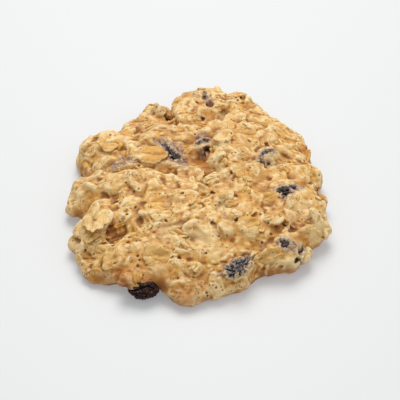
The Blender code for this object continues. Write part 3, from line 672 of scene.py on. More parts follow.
# Patchy noise in the finishes: its size, detail and roughness, between which of its values a patch
# comes up, and how strong it is below and above them.
PATCHES = {
    "golden dough": (9.0, 2.0, 0.5, 0.38, 0.62, 0.0, 1.0),
    "orange dough": (3.6, 3.0, 0.6, 0.5, 0.66, 0.0, 0.9),
    "cream oat": (3.4, 3.0, 0.55, 0.5, 0.66, 0.0, 0.6),
    "oats through the dough": (2.4, 3.0, 0.6, 0.36, 0.56, 0.0, 1.0),
    "bran in the dough": (5.0, 2.0, 0.5, 0.4, 0.66, 0.04, 0.45),
    "fine mottle": (0.6, 2.0, 0.6, 0.32, 0.68, 0.92, 1.08),
    "deep toasted": (3.0, 3.0, 0.5, 0.4, 0.7, 0.1, 0.7),
    "film over a raisin": (1.6, 4.0, 0.65, 0.36, 0.56, 0.35, 1.0),
    "stained film": (0.9, 3.0, 0.7, 0.4, 0.66, 0.0, 1.0),
    "dough's gloss": (2.2, 3.0, 0.5, 0.35, 0.65, 0.44, 0.7),
    "dough on the oats": (2.6, 3.0, 0.6, 0.4, 0.6, 0.0, 1.0),
    "raisin brown": (1.6, 3.0, 0.6, 0.4, 0.62, 0.1, 0.9),
    "raisin bloom and sheen": (0.9, 4.0, 0.7, 0.42, 0.58, 0.0, 1.0),
    "raisin glint": (0.5, 3.0, 0.7, 0.52, 0.62, 0.0, 1.0),
}
DOUGH_PATCHES = ("golden dough", "orange dough", "cream oat")

# Tints by what is kept on the points, in their order: its name, between which of its values the tint
# comes up, how strong it gets and its colour. They paint highlights on crests and sharp edges, warm and
# dark shade in hollows and crevices, light on the lighter places, and browning with painted shade.
LIGHT_SHADE_AND_BROWN_TINTS = (
    ("hollow", -0.05, -0.35, 0.3, "edge highlight"),
    ("edge", -0.01, -0.07, 0.6, "edge highlight"),
    ("hollow", -0.08, 0.3, 0.55, "orange dough"),
    ("hollow", 0.06, 0.6, 0.72, "crevice"),
    ("edge", 0.01, 0.09, 0.75, "crevice"),
    ("pale", 0.1, 0.9, 0.8, "pale dough"),
    ("toast", 0.1, 0.85, 0.92, "toasted"),
)
# Painted shade in pits, pores and clefts, darkest in the deepest.
PIT_SHADE_TINTS = (
    ("pit", 0.1, 0.6, 0.8, "crevice"),
    ("pit", 0.55, 1.1, 0.9, "speck"),
)
# The groove, and a painted highlight on the rims.
OAT_TINTS = (
    ("groove", 0.2, 0.9, 0.7, "oat groove"),
    ("rim", 0.82, 1.0, 0.5, "edge highlight"),
)
# Browning of the oats, with painted shade where the skin's browning has it.
TOASTED_AND_SHADED_OAT = (("toast", 0.2, 1.0, 0.7, "toasted"),)

MOTTLE_RANGE = (0.3, 0.7)    # the crumb's mottling varies between these
MOTTLE_RED, MOTTLE_BLUE = 0.8, 1.8    # how far red and blue follow it
GRAIN_SLENDER = 0.14         # an oat's fibres are this slender
BAKED_SHINE = 0.45
BAKED_GLOW = 0.06            # share of the light that runs on inside
DOUGH_GLOW, OAT_GLOW = ((1.0, 0.55, 0.25), 1.2), ((1.0, 0.6, 0.3), 1.0)    # its colour and how far
RAISIN_TINT = (1.0, 0.9, 0.86, 1.0)

# ---------------------------------------------------------------- floor and lights
FLOOR_REACH = 1.5
FLOOR_GLOW = 0.45
LIGHTS = (                   # place, size, power and colour
    ("window light", (-0.02, 0.36, 0.62), 0.55, 4.1, (1.0, 0.985, 0.945)),
    ("side fill", (0.6, -0.3, 0.55), 0.9, 0.95, (1.0, 0.99, 0.97)),
)
AIR_COLOUR = (0.99, 0.98, 0.935, 1.0)
AIR_STRENGTH = 0.5


def linear(name):
    """A named colour as the shaders want it."""
    levels = [level / 255.0 for level in COLOURS[name]]
    return (*[((level + 0.055) / 1.055) ** 2.4 for level in levels], 1.0)


# ---------------------------------------------------------------- meshes
def read(items, name, width, kind=np.float32):
    flat = np.empty(len(items) * width, kind)
    items.foreach_get(name, flat)
    return flat.reshape(-1, width)


def read_points(mesh):
    return read(mesh.vertices, "co", 3).astype(float)


def read_normals(mesh):
    return read(mesh.vertex_normals, "vector", 3).astype(float)


def write_points(mesh, points):
    mesh.vertices.foreach_set("co", points.astype(np.float32).ravel())
    mesh.update()


def store(mesh, name, values):
    """Keep a number for each point under a name that a material reads."""
    layer = mesh.attributes.get(name) or mesh.attributes.new(name, "FLOAT", "POINT")
    layer.data.foreach_set("value", np.asarray(values, np.float32))


def fetch(mesh, name):
    return read(mesh.attributes[name].data, "value", 1)[:, 0].astype(float)


def faces_of(mesh):
    return [tuple(face.vertices) for face in mesh.polygons]


def mesh_from(name, points, faces):
    mesh = bpy.data.meshes.new(name)
    mesh.from_pydata(np.asarray(points).tolist(), [], faces)
    mesh.update()
    return mesh


def show(name, mesh):
    piece = bpy.data.objects.new(name, mesh)
    bpy.context.scene.collection.objects.link(piece)
    return piece


def finished_mesh(piece):
    """The plain mesh that an object's modifiers make. The object and its modifiers go."""
    bpy.context.view_layer.update()
    graph = bpy.context.evaluated_depsgraph_get()
    made = bpy.data.meshes.new_from_object(
        piece.evaluated_get(graph), preserve_all_data_layers=True, depsgraph=graph)
    piece.modifiers.clear()
    bpy.data.objects.remove(piece)
    return made


def to_row_frame(mesh):
    """From the plan in millimetres to the row frame in metres."""
    mesh.transform(Matrix.Scale(MM, 4) @ Matrix.Translation((-CENTRE[0], -CENTRE[1], 0.0)))


def place_piece(name, mesh, material, replaced=()):
    """Put a finished mesh in the scene as a piece of the cookie."""
    to_row_frame(mesh)
    mesh.materials.clear()
    mesh.materials.append(material)
    mesh.shade_smooth()
    piece = show(name, mesh)
    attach(piece, BODY)
    if replaced:
        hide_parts(*replaced)
    return piece


def bumps(points, size, shift=(0.0, 0.0, 0.0)):
    """Smooth noise, from -1 to 1, at each point."""
    return np.array([noise.noise(place) for place in (points / size + shift).tolist()])


def smooth_step(values, low, high):
    share = np.clip((values - low) / (high - low), 0.0, 1.0)
    return share * share * (3.0 - 2.0 * share)


def bell(distance):
    """Falls from 1 at no distance to 0 far off."""
    return math.exp(-distance * distance)


def fading(away):
    """The same for each of many distances."""
    return np.exp(-away ** 2)


def plan_distance(points, x, y):
    return np.hypot(points[:, 0] - x, points[:, 1] - y)


# ---------------------------------------------------------------- node trees
class Net:
    """A node tree that is being built, with sockets found by name or by identifier."""

    def __init__(self, tree):
        self.tree = tree

    @staticmethod
    def socket(sockets, name):
        for socket in sockets:
            if socket.enabled and socket.name == name:
                return socket
        return next(socket for socket in sockets if socket.identifier == name)

    def add(self, kind, feeds=(), **settings):
        """A node with its settings, and its inputs fed by values or by other nodes' outputs."""
        node = self.tree.nodes.new(kind)
        for name, value in settings.items():
            setattr(node, name, value)
        for name, value in dict(feeds).items():
            self.feed(node, name, value)
        return node

    def put(self, socket, value):
        """Link another node's output to a socket, or set the socket."""
        if isinstance(value, bpy.types.NodeSocket):
            self.tree.links.new(value, socket)
        else:
            socket.default_value = value

    def feed(self, node, name, value):
        self.put(self.socket(node.inputs, name), value)

    def out(self, kind, result, feeds=(), **settings):
        return self.socket(self.add(kind, feeds, **settings).outputs, result)

    # Short forms of what the shaders use most.
    def sum(self, operation, first, second=0.0, clamp=False):
        node = self.tree.nodes.new("ShaderNodeMath")
        node.operation, node.use_clamp = operation, clamp
        for socket, value in zip(node.inputs, (first, second)):
            self.put(socket, value)
        return node.outputs[0]

    def times(self, first, second):
        return self.sum("MULTIPLY", first, second)

    def mix(self, factor, first, second, blend="MIX"):
        return self.out("ShaderNodeMix", "Result_Color",
                        {"Factor_Float": factor, "A_Color": first, "B_Color": second},
                        data_type="RGBA", blend_type=blend)

    def ramp(self, value, low, high, to_low=0.0, to_high=1.0):
        return self.out("ShaderNodeMapRange", "Result",
                        {"Value": value, "From Min": low, "From Max": high,
                         "To Min": to_low, "To Max": to_high}, interpolation_type="SMOOTHSTEP")

    def noise(self, vector, scale, detail=2.0, roughness=0.5):
        return self.out("ShaderNodeTexNoise", "Fac",
                        {"Vector": vector, "Scale": scale, "Detail": detail,
                         "Roughness": roughness})

    def patches(self, vector, name):
        """Patches of noise, as PATCHES has them."""
        size, detail, roughness, low, high, least, most = PATCHES[name]
        return self.ramp(self.noise(vector, 1.0 / size, detail, roughness), low, high, least, most)

    def kept(self, name):
        """What store() kept under a name."""
        return self.out("ShaderNodeAttribute", "Fac", attribute_name=name)

    def kept_ramp(self, name, low, high, to_low=0.0, to_high=1.0):
        return self.ramp(self.kept(name), low, high, to_low, to_high)

    def tint(self, colour, strength, name):
        return self.mix(strength, colour, linear(name))

    def tints(self, colour, table):
        for kept, low, high, most, name in table:
            colour = self.tint(colour, self.kept_ramp(kept, low, high, 0.0, most), name)
        return colour

    def bump(self, shader, strength, distance, height):
        self.feed(shader, "Normal", self.out("ShaderNodeBump", "Normal",
                                             {"Strength": strength, "Distance": distance * MM,
                                              "Height": height}))


def new_group(name, kind, inputs, outputs):
    """A node group with named sockets: the group, its net, its inputs and its output node."""
    group = bpy.data.node_groups.new(name, kind)
    for label, socket, value in inputs:
        made = group.interface.new_socket(label, in_out="INPUT", socket_type=f"NodeSocket{socket}")
        if value is not None:
            made.default_value = value
    for label, socket in outputs:
        group.interface.new_socket(label, in_out="OUTPUT", socket_type=f"NodeSocket{socket}")
    net = Net(group)
    return group, net, net.add("NodeGroupInput").outputs, net.add("NodeGroupOutput")


def run_tree(name, mesh, tree, values):
    """The plain mesh that a geometry tree makes of a mesh. Its inputs are set by identifier."""
    piece = show(name, mesh)
    change = piece.modifiers.new(name, "NODES")
    change.node_group = tree
    for item in tree.interface.items_tree:
        if item.item_type == "SOCKET" and item.in_out == "INPUT" and item.name in values:
            change[item.identifier] = values[item.name]
    return finished_mesh(piece)


# ---------------------------------------------------------------- the core of the dough
def turn_between(angle, other):
    return (angle - other + 180.0) % 360.0 - 180.0


def bells_round(table, angle):
    return sum(size * bell(turn_between(angle, at) / spread) for _, at, size, spread in table)


def outline(angle):
    along, across = math.cos(math.radians(angle)), math.sin(math.radians(angle))
    ellipse = HALF_WIDTH * HALF_DEPTH / math.hypot(HALF_DEPTH * along, HALF_WIDTH * across)
    return ellipse + bells_round(LOBES, angle)


def distance_to_path(x, y, path):
    here = Vector((x, y))
    nearest = math.inf
    for start, end in zip(path, path[1:]):
        a, run = Vector(start), Vector(end) - Vector(start)
        along = max(0.0, min(1.0, (here - a).dot(run) / run.length_squared))
        nearest = min(nearest, (here - a - run * along).length)
    return nearest


def relief(x, y):
    height = 0.0
    for _, mx, my, size, half_x, half_y, turn in MOUNDS:
        across = Matrix.Rotation(math.radians(-turn), 2) @ Vector((x - mx, y - my))
        height += size * bell(math.hypot(across.x / half_x, across.y / half_y))
    for _, depth, half_width, path in FOLDS:
        height -= depth * bell(distance_to_path(x, y, path) / half_width)
    return height


def crags(point):
    return sum(size * noise.noise(point / scale + CRAG_SEED * scale) for scale, size in CRAGS)


def top_height(share, angle, x, y):
    rim = RIM + bells_round(RIM_CHANGES, angle)
    dome = (1.0 - (share / SHOULDER) ** 2) ** DOME_POWER
    kept = 1.0 - EDGE_FADE * share ** 6
    return rim + (CROWN - rim) * dome + relief(x, y) * kept


def polar(reach, angle, height):
    turn = math.radians(angle)
    return Vector((reach * math.cos(turn), reach * math.sin(turn), height))


def disc_place(column, row, grid):
    across, along = 2.0 * column / grid - 1.0, 2.0 * row / grid - 1.0
    if abs(across) > abs(along):
        angle = 45.0 * along / across
        return abs(across), angle + (180.0 if across < 0.0 else 0.0)
    if along == 0.0:
        return 0.0, 0.0
    angle = 90.0 - 45.0 * across / along
    return abs(along), angle + (180.0 if along < 0.0 else 0.0)


def top_point(column, row, grid):
    disc, angle = disc_place(column, row, grid)
    share = disc * SHOULDER
    point = polar(outline(angle) * share, angle, 0.0)
    point.z = top_height(share, angle, point.x, point.y)
    point.z += crags(point)
    return point


def border_of_grid(grid):
    steps = range(grid)
    return ([(grid, step) for step in steps] + [(grid - step, grid) for step in steps]
            + [(0, grid - step) for step in steps] + [(step, 0) for step in steps])


def side_ring(shoulders, share, level):
    ring = []
    for shoulder in shoulders:
        angle = math.degrees(math.atan2(shoulder.y, shoulder.x))
        undercut = bells_round(UNDERCUTS, angle)
        reach = outline(angle) * share - undercut * (1.0 - level) ** 2
        lift = UNDERCUT_LIFT * undercut if 0.0 < level < 0.5 else 0.0
        point = polar(reach, angle, shoulder.z * level + lift)
        if level > 0.0:
            point += polar(SIDE_CRAGS * crags(point), angle, 0.0)
        ring.append(point)
    return ring


def dough_core(grid):
    """The bare dough, as in the solid, on a grid as fine as asked."""
    mesh = bmesh.new()
    top = {(column, row): mesh.verts.new(top_point(column, row, grid))
           for column in range(grid + 1) for row in range(grid + 1)}
    for column in range(grid):
        for row in range(grid):
            mesh.faces.new((top[column, row], top[column + 1, row],
                            top[column + 1, row + 1], top[column, row + 1]))
    lines = [[top[place] for place in border_of_grid(grid)]]
    shoulders = [vertex.co.copy() for vertex in lines[0]]
    rings = [side_ring(shoulders, share, level) for share, level in SIDE]
    for ring in range(1, BASE_RINGS + 1):
        rings.append([point * (1.0 - ring / (BASE_RINGS + 1)) for point in rings[len(SIDE) - 1]])
    lines += [[mesh.verts.new(point) for point in ring] for ring in rings]
    bottom = mesh.verts.new((0.0, 0.0, 0.0))
    around = len(shoulders)
    for step in range(around):
        after = (step + 1) % around
        for upper, lower in zip(lines, lines[1:]):
            mesh.faces.new((upper[step], lower[step], lower[after], upper[after]))
        mesh.faces.new((bottom, lines[-1][after], lines[-1][step]))
    bmesh.ops.triangulate(mesh, faces=mesh.faces[:])
    bmesh.ops.recalc_face_normals(mesh, faces=mesh.faces[:])
    return mesh


# ---------------------------------------------------------------- seats of the whole oats
def lean(roll, tilt, turn):
    angles = [math.radians(angle) for angle in (roll, tilt, turn)]
    return Euler(angles, "XYZ").to_matrix().to_4x4()


def seat_flake(spot, normal, turn, tilt, roll, proud):
    seat = Vector((0.0, 0.0, 1.0)).rotation_difference(normal).to_matrix().to_4x4()
    return Matrix.Translation(spot + normal * proud) @ seat @ lean(roll, -tilt, turn)


def clear_of_raisins(spot):
    return all((spot - Vector(raisin[1:4])).length > 0.5 * raisin[4] + ROOM_AT_RAISINS
               for raisin in RAISINS)


def named_flakes(core):
    surface = BVHTree.FromBMesh(core)
    for _, x, y, length, width, turn, tilt, roll, proud in FLAKES:
        above = Vector((x, y, 4.0 * CROWN))
        spot, normal, _, _ = surface.ray_cast(above, Vector((0.0, 0.0, -1.0)))
        yield length, width, seat_flake(spot, normal, turn, tilt, roll, proud)


def spread_spots(core, draw):
    faces = [face for face in core.faces if face.calc_center_median().z > LOWEST_FLAKE]
    areas = [face.calc_area() for face in faces]
    taken = [Vector((flake[1], flake[2], CROWN)) for flake in FLAKES]
    while len(taken) < len(FLAKES) + SPREAD_FLAKES:
        best, best_room = None, 0.0
        for face in draw.choices(faces, areas, k=SPREAD_TRIES):
            spot = face.calc_center_median()
            if not clear_of_raisins(spot):
                continue
            room = min(math.hypot(spot.x - other.x, spot.y - other.y,
                                  HEIGHT_COUNTS * (spot.z - other.z)) for other in taken)
            if room > best_room:
                best, best_room = (spot, face.normal.copy()), room
        if best:
            taken.append(best[0])
            yield best


def spread_flakes(core):
    draw = random.Random(SPREAD_SEED)
    for spot, normal in list(spread_spots(core, draw)):
        length = draw.uniform(*FLAKE_LENGTHS)
        width = length * draw.uniform(*FLAKE_SLENDER)
        on_top = normal.z > ON_TOP
        most = FLAKE_TILT if on_top else SIDE_FLAKE_TILT
        proud = draw.uniform(*FLAKE_PROUD) if on_top else FLAKE_PROUD[0]
        seat = seat_flake(spot, normal, draw.uniform(0, 180), draw.uniform(-most, most),
                          draw.uniform(-most, most), proud)
        yield length, width, seat


# ---------------------------------------------------------------- rolled oats
def oat_corners(length, width, draw):
    """The corners of an oat's edge, with the same draws as in the solid."""
    corners = []
    for step in range(FLAKE_POINTS):
        angle = 2.0 * math.pi * (step + draw.uniform(-CORNER_SHIFT, CORNER_SHIFT)) / FLAKE_POINTS
        reach = draw.uniform(*CORNER_REACH)
        corners.append(np.array((0.5 * length * reach * math.cos(angle),
                                 0.5 * width * reach * math.sin(angle),
                                 draw.uniform(-FLAKE_UNEVEN, FLAKE_UNEVEN))))
    return corners


def closed_curve(corners, steps):
    """A smooth closed line through the corners."""
    line = []
    for place in range(len(corners)):
        a, b, c, d = (corners[(place + shift) % len(corners)] for shift in (-1, 0, 1, 2))
        for step in range(steps):
            t = step / steps
            line.append(0.5 * (2 * b + (c - a) * t + (2 * a - 5 * b + 4 * c - d) * t ** 2
                               + (3 * b - a - 3 * c + d) * t ** 3))
    return np.array(line)


def oat_shape(length, width, number, steps=STEPS_BETWEEN_CORNERS, rings=OAT_RINGS, root=OAT_ROOT,
              crown=OAT_CROWN, lip=OAT_LIP, groove=OAT_GROOVE, broken=0.0):
    """Points and faces of one rolled oat: a crowned oval with a groove along it and a ragged edge."""
    draw = random.Random(number)
    edge = closed_curve(oat_corners(length, width, draw), steps)
    curl = draw.uniform(*OAT_CURL)
    sway = draw.uniform(-OAT_SWAY, OAT_SWAY) * width
    spokes = len(edge)
    ragged = np.array([draw.uniform(-1.0, 1.0) for _ in range(spokes)])
    edge[:, :2] *= (1.0 + OAT_RAGGED * ragged)[:, None]
    points, sheets = [], []
    for side in (1, -1):
        sheet = []
        for share in rings[1:-1]:
            line = edge * share
            across = (line[:, 1] - sway) / (GROOVE_WIDTH * width)
            swell = 1.0 - share ** 3
            if side > 0:
                height = crown * swell + lip * (1.0 - share ** 6)
                height = height - groove * fading(across) * swell ** 0.5
            else:
                height = np.full(spokes, -root * swell - lip * (1.0 - share ** 6))
            line[:, 2] = edge[:, 2] * share ** 2 + height + curl * (line[:, 0] / (0.5 * length)) ** 2
            sheet.append(range(len(points), len(points) + spokes))
            points.extend(line)
        sheets.append(sheet)
    rim = range(len(points), len(points) + spokes)
    line = edge.copy()
    line[:, 2] += curl * (line[:, 0] / (0.5 * length)) ** 2
    points.extend(line)
    poles = (len(points), len(points) + 1)
    points.extend((np.array((0.0, sway, crown + lip - groove)), np.array((0.0, 0.0, -root - lip))))
    points = np.array(points)
    if broken:
        cut = broken * 0.5 * length
        past = points[:, 0] > cut
        points[past, 0] = cut + BREAK_SQUEEZE * (points[past, 0] - cut)
    faces = []
    upper, lower = [*sheets[0], rim], [*sheets[1], rim]
    for step in range(spokes):
        after = (step + 1) % spokes
        faces.append((poles[0], upper[0][step], upper[0][after]))
        faces.append((poles[1], lower[0][after], lower[0][step]))
        for inner, outer in zip(upper, upper[1:]):
            faces.append((inner[step], outer[step], outer[after], inner[after]))
        for inner, outer in zip(lower, lower[1:]):
            faces.append((inner[after], outer[after], outer[step], inner[step]))
    return points, faces


def moved(points, matrix):
    turned = np.array(matrix.to_3x3())
    return points @ turned.T + np.array(matrix.translation)


def kept_off_floor(points):
    lowest = points[:, 2].min()
    if lowest < FLOOR_GAP:
        points = points + np.array((0.0, 0.0, FLOOR_GAP - lowest))
    return points


# ---------------------------------------------------------------- scattering
def scatter_tree():
    """Spreads the shapes of a collection over a surface, each turned, tilted, sized and toned."""
    inputs = (
        ("Geometry", "Geometry", None),
        ("Shapes", "Collection", None),
        ("Spacing", "Float", 2.0),
        ("Density", "Float", 0.1),
        ("Smallest", "Float", 0.8),
        ("Largest", "Float", 1.2),
        ("Tilt", "Float", 0.3),
        ("Least Sink", "Float", 0.0),
        ("Most Sink", "Float", 0.5),
        ("Lowest", "Float", LOWEST_FLAKE),
        ("Seed", "Int", 0),
        ("Material", "Material", None),
    )
    tree, net, given, result = new_group(
        "Scatter on the dough", "GeometryNodeTree", inputs, [("Geometry", "Geometry")])

    def draw(low, high, shift):
        return net.out("FunctionNodeRandomValue", "Value",
                       {"Min": low, "Max": high, "Seed": net.sum("ADD", given["Seed"], shift)},
                       data_type="FLOAT")

    height = net.out("ShaderNodeSeparateXYZ", "Z",
                     {"Vector": net.out("GeometryNodeInputPosition", "Position")})
    high_enough = net.out("FunctionNodeCompare", "Result", {"A": height, "B": given["Lowest"]},
                          data_type="FLOAT", operation="GREATER_THAN")
    free = net.out("GeometryNodeInputNamedAttribute", "Attribute", {"Name": "free"},
                   data_type="FLOAT")
    spots = net.add("GeometryNodeDistributePointsOnFaces",
                    {"Mesh": given["Geometry"], "Selection": high_enough,
                     "Distance Min": given["Spacing"], "Density Max": given["Density"],
                     "Density Factor": free, "Seed": given["Seed"]},
                    distribute_method="POISSON")
    sink = net.out("ShaderNodeVectorMath", "Vector",
                   {"Vector": spots.outputs["Normal"],
                    "Scale": net.times(draw(given["Least Sink"], given["Most Sink"], 1),
                                     -1.0)}, operation="SCALE")
    sunk = net.out("GeometryNodeSetPosition", "Geometry",
                   {"Geometry": spots.outputs["Points"], "Offset": sink})
    back = net.times(given["Tilt"], -1.0)
    angles = net.out("ShaderNodeCombineXYZ", "Vector",
                     {"X": draw(back, given["Tilt"], 2), "Y": draw(back, given["Tilt"], 3),
                      "Z": draw(-math.pi, math.pi, 4)})
    turn = net.out("FunctionNodeRotateRotation", "Rotation",
                   {"Rotation": spots.outputs["Rotation"],
                    "Rotate By": net.out("FunctionNodeEulerToRotation", "Rotation",
                                         {"Euler": angles})}, rotation_space="LOCAL")
    shapes = net.out("GeometryNodeCollectionInfo", "Instances",
                     {"Collection": given["Shapes"], "Separate Children": True,
                      "Reset Children": True})
    size = draw(given["Smallest"], given["Largest"], 5)
    placed = net.out("GeometryNodeInstanceOnPoints", "Instances",
                     {"Points": sunk, "Instance": shapes, "Pick Instance": True,
                      "Rotation": turn,
                      "Scale": net.out("ShaderNodeCombineXYZ", "Vector",
                                       {"X": size, "Y": size, "Z": size})})
    for name, shift in (("tone", 6), ("bare", 7)):
        placed = net.out("GeometryNodeStoreNamedAttribute", "Geometry",
                         {"Geometry": placed, "Name": name, "Value": draw(0.0, 1.0, shift)},
                         data_type="FLOAT", domain="INSTANCE")
    real = net.out("GeometryNodeRealizeInstances", "Geometry", {"Geometry": placed})
    net.feed(result, "Geometry", net.out("GeometryNodeSetMaterial", "Geometry",
                                         {"Geometry": real, "Material": given["Material"]}))
    return tree


def shape_collection(name, shapes):
    """A collection that only the scatter reads: it isn't linked to the scene."""
    collection = bpy.data.collections.new(name)
    for number, (points, faces) in enumerate(shapes):
        collection.objects.link(
            bpy.data.objects.new(f"{name} {number}", mesh_from(f"{name} {number}", points, faces)))
    return collection


def drop_collection(collection):
    for piece in list(collection.objects):
        mesh = piece.data
        bpy.data.objects.remove(piece)
        bpy.data.meshes.remove(mesh)
    bpy.data.collections.remove(collection)


# ---------------------------------------------------------------- raisins
def raisin_seat(raisin):
    _, x, y, z, _, _, _, turn, tilt, roll = raisin
    return Matrix.Translation((x, y, z)) @ lean(roll, tilt, turn)


def half_sizes(raisin):
    return 0.5 * np.array(raisin[4:7])


def in_raisin(points, raisin):
    """Points in a raisin's own frame, where its smooth skin is the unit ball."""
    return moved(points, raisin_seat(raisin).inverted()) / half_sizes(raisin)


def out_of_raisin(points, raisin):
    return moved(points * half_sizes(raisin), raisin_seat(raisin))


# ---------------------------------------------------------------- the dough's skin
class Heap:
    """Shapes gathered into one mesh. Each point keeps the values of its shape."""

    def __init__(self):
        self.points, self.faces, self.values, self.count = [], [], {}, 0

    def add(self, points, faces, **values):
        self.faces.extend(tuple(corner + self.count for corner in face) for face in faces)
        self.points.append(points)
        for name, value in values.items():
            self.values.setdefault(name, []).append(np.broadcast_to(value, len(points)))
        self.count += len(points)

    def place(self):
        return np.concatenate(self.points)

    def value(self, name):
        return np.concatenate(self.values[name])

    def mesh(self, name):
        made = mesh_from(name, self.place(), self.faces)
        for value in self.values:
            store(made, value, self.value(value))
        return made


def scatter_onto(heap, surface, tree, collection, spec, names, material):
    """A collection's shapes scattered over a surface and gathered into a heap, with named values."""
    spacing, density, sizes, tilt, sinks, seed = spec
    made = run_tree(collection.name, surface.copy(), tree,
                    {"Shapes": collection, "Spacing": spacing, "Density": density,
                     "Smallest": sizes[0], "Largest": sizes[1], "Tilt": math.radians(tilt),
                     "Least Sink": sinks[0], "Most Sink": sinks[1], "Seed": seed,
                     "Material": material})
    heap.add(read_points(made), faces_of(made), **{name: fetch(made, name) for name in names})
    bpy.data.meshes.remove(made)


def small_oat(number):
    """A broken oat for the skin, nicked and folded."""
    length, width, growth = SMALL_OAT_SIZE
    width += growth * number
    own = SMALL_OAT_NUMBER + number
    points, faces = oat_shape(length, width, own, broken=OAT_BREAK * (number % 3),
                              **SMALL_OAT_SHAPE)
    return weathered(points, length, width, own, random.Random(own), SMALL_OAT_CRUMPLE)[0], faces


def gather_oats(flakes, core_mesh, tree, material):
    """The whole oats in their seats, and the scattered smaller ones."""
    oats = Heap()
    draw = random.Random(SPREAD_SEED)
    for number, (length, width, seat) in enumerate(flakes):
        points, faces = oat_shape(length, width, number)
        tone, bare = draw.random(), draw.random()
        if number in CRISP:
            way = 2.0 * math.pi * tone
            points[:, 2] -= SUNK.get(number, 0.0)
            points[:, 2] -= CRISP_BED + CRISP_TIP * (math.cos(way) * points[:, 0] / length
                                                     + math.sin(way) * points[:, 1] / width)
        elif number < len(FLAKES):
            bare = TOLD_BARE[0] + TOLD_BARE[1] * bare
        elif draw.random() > SHOWN_SHARE:
            points[:, 2] -= SUNK_OATS
            bare *= SUNK_BARE
        if number in HALVED_OATS:
            points *= HALVED
        oats.add(kept_off_floor(moved(points, seat)), faces, tone=tone, bare=bare)
    collection = shape_collection("small oat", [small_oat(number) for number in range(SMALL_OATS)])
    for _, *spec in SCATTERS:
        scatter_onto(oats, core_mesh, tree, collection, spec, ("tone", "bare"), material)
    drop_collection(collection)
    return oats


def taken_apart(mesh):
    """The points and faces of a mesh that goes. A ball's own order can change from run to run."""
    points = np.array([vertex.co[:] for vertex in mesh.verts])
    order = np.lexsort(np.round(points, 5).T)
    place = np.argsort(order).tolist()
    faces = sorted(tuple(place[vertex.index] for vertex in face.verts) for face in mesh.faces)
    mesh.free()
    return points[order], faces


def unit_ball():
    ball = bmesh.new()
    bmesh.ops.create_icosphere(ball, subdivisions=LUMP_FINENESS, radius=1.0)
    return taken_apart(ball)


def raisin_coats():
    """Dough round every raisin that isn't bare, to be opened later, and a low mound round each collared
    one.
    """
    coats = Heap()
    ball, faces = unit_ball()
    for raisin in RAISINS:
        if raisin[0] not in BARE_RAISINS:
            coats.add(out_of_raisin(FILM * ball, raisin), faces)
        if raisin[0] in COLLARED:
            collar = out_of_raisin(ball * np.array(COLLAR), raisin)
            coats.add(collar - np.array((0.0, 0.0, COLLAR_DROP)), faces)
    return coats


def fillings():
    """Dented lumps that close up places of the core."""
    lumps = Heap()
    ball, faces = unit_ball()
    dent, size = FILLING_DENTS
    for number, (_, x, y, z, half_x, half_y, half_z, turn) in enumerate(FILLINGS):
        points = ball * (1.0 + dent * bumps(ball, size, (number, 0.0, 0.0))[:, None])
        seat = Matrix.Translation((x, y, z)) @ lean(0.0, 0.0, turn)
        lumps.add(kept_off_floor(moved(points * np.array((half_x, half_y, half_z)), seat)), faces)
    return lumps


def remeshed(name, points, faces, voxel):
    piece = show(name, mesh_from(name, points, faces))
    change = piece.modifiers.new("Remesh", "REMESH")
    change.mode = "VOXEL"
    change.voxel_size = voxel
    return finished_mesh(piece)


class Around:
    """Each point's neighbours, for averages over the surface."""

    def __init__(self, mesh):
        edges = read(mesh.edges, "vertices", 2, np.int32)
        self.here = edges.ravel()
        self.there = edges[:, ::-1].ravel()
        self.count = len(mesh.vertices)
        self.degree = np.maximum(np.bincount(self.here, minlength=self.count), 1)

    def mean(self, values):
        if values.ndim == 1:
            return np.bincount(self.here, values[self.there], self.count) / self.degree
        return np.stack([self.mean(values[:, column]) for column in range(3)], 1)


def film_over(mesh, around, rounds, fill, wear):
    """Dough film: crevices fill up, edges wear a little, and points even out along the skin."""
    for _ in range(rounds):
        points, normals = read_points(mesh), read_normals(mesh)
        pull = around.mean(points) - points
        outward = (pull * normals).sum(1)
        along = pull - normals * outward[:, None]
        share = np.where(outward > 0.0, fill, wear)
        write_points(mesh, points + FILM_SLIDE * along + normals * (share * outward)[:, None])


def ledged(values, steps):
    """A smooth rise cut into ledges."""
    rise = values * steps
    whole = np.floor(rise)
    return (whole + smooth_step(rise - whole, *LEDGE_RISE)) / steps


def crumble(mesh, oat):
    """Rough of the baked crumb. The underside stays nearly flat."""
    points, normals = read_points(mesh), read_normals(mesh)
    lift = sum(height * bumps(points, size, CRUMB_SEED) for size, height in SOFT)
    drawn = points.copy()
    for size, reach in WARP:
        drawn += reach * np.stack([bumps(points, size, CRUMB_SEED * shift) for shift in (5, 6, 7)], 1)
    top, level = CREASE_RISE
    for size, height in CREASES:
        lumps = np.abs(bumps(drawn, size, CRUMB_SEED * 2))
        lift += height * (np.minimum(lumps, top) - level)
    for size, height, steps in LEDGES:
        lift += height * ledged(bumps(drawn, size, CRUMB_SEED * 3), steps)
    size, height, stretch = PULLED
    top, level = STRAND_RISE
    strands = np.abs(bumps(points * np.array(stretch), size, CRUMB_SEED * 4))
    lift += height * (np.minimum(strands, top) - level) * (1.0 - room_for_oats(points))
    lift *= (ROUGH_UNDERSIDE
             + (1.0 - ROUGH_UNDERSIDE) * smooth_step(points[:, 2], *ROUGH_HEIGHTS))
    lift *= 1.0 - (1.0 - ROUGH_OATS) * oat
    write_points(mesh, points + normals * lift[:, None])


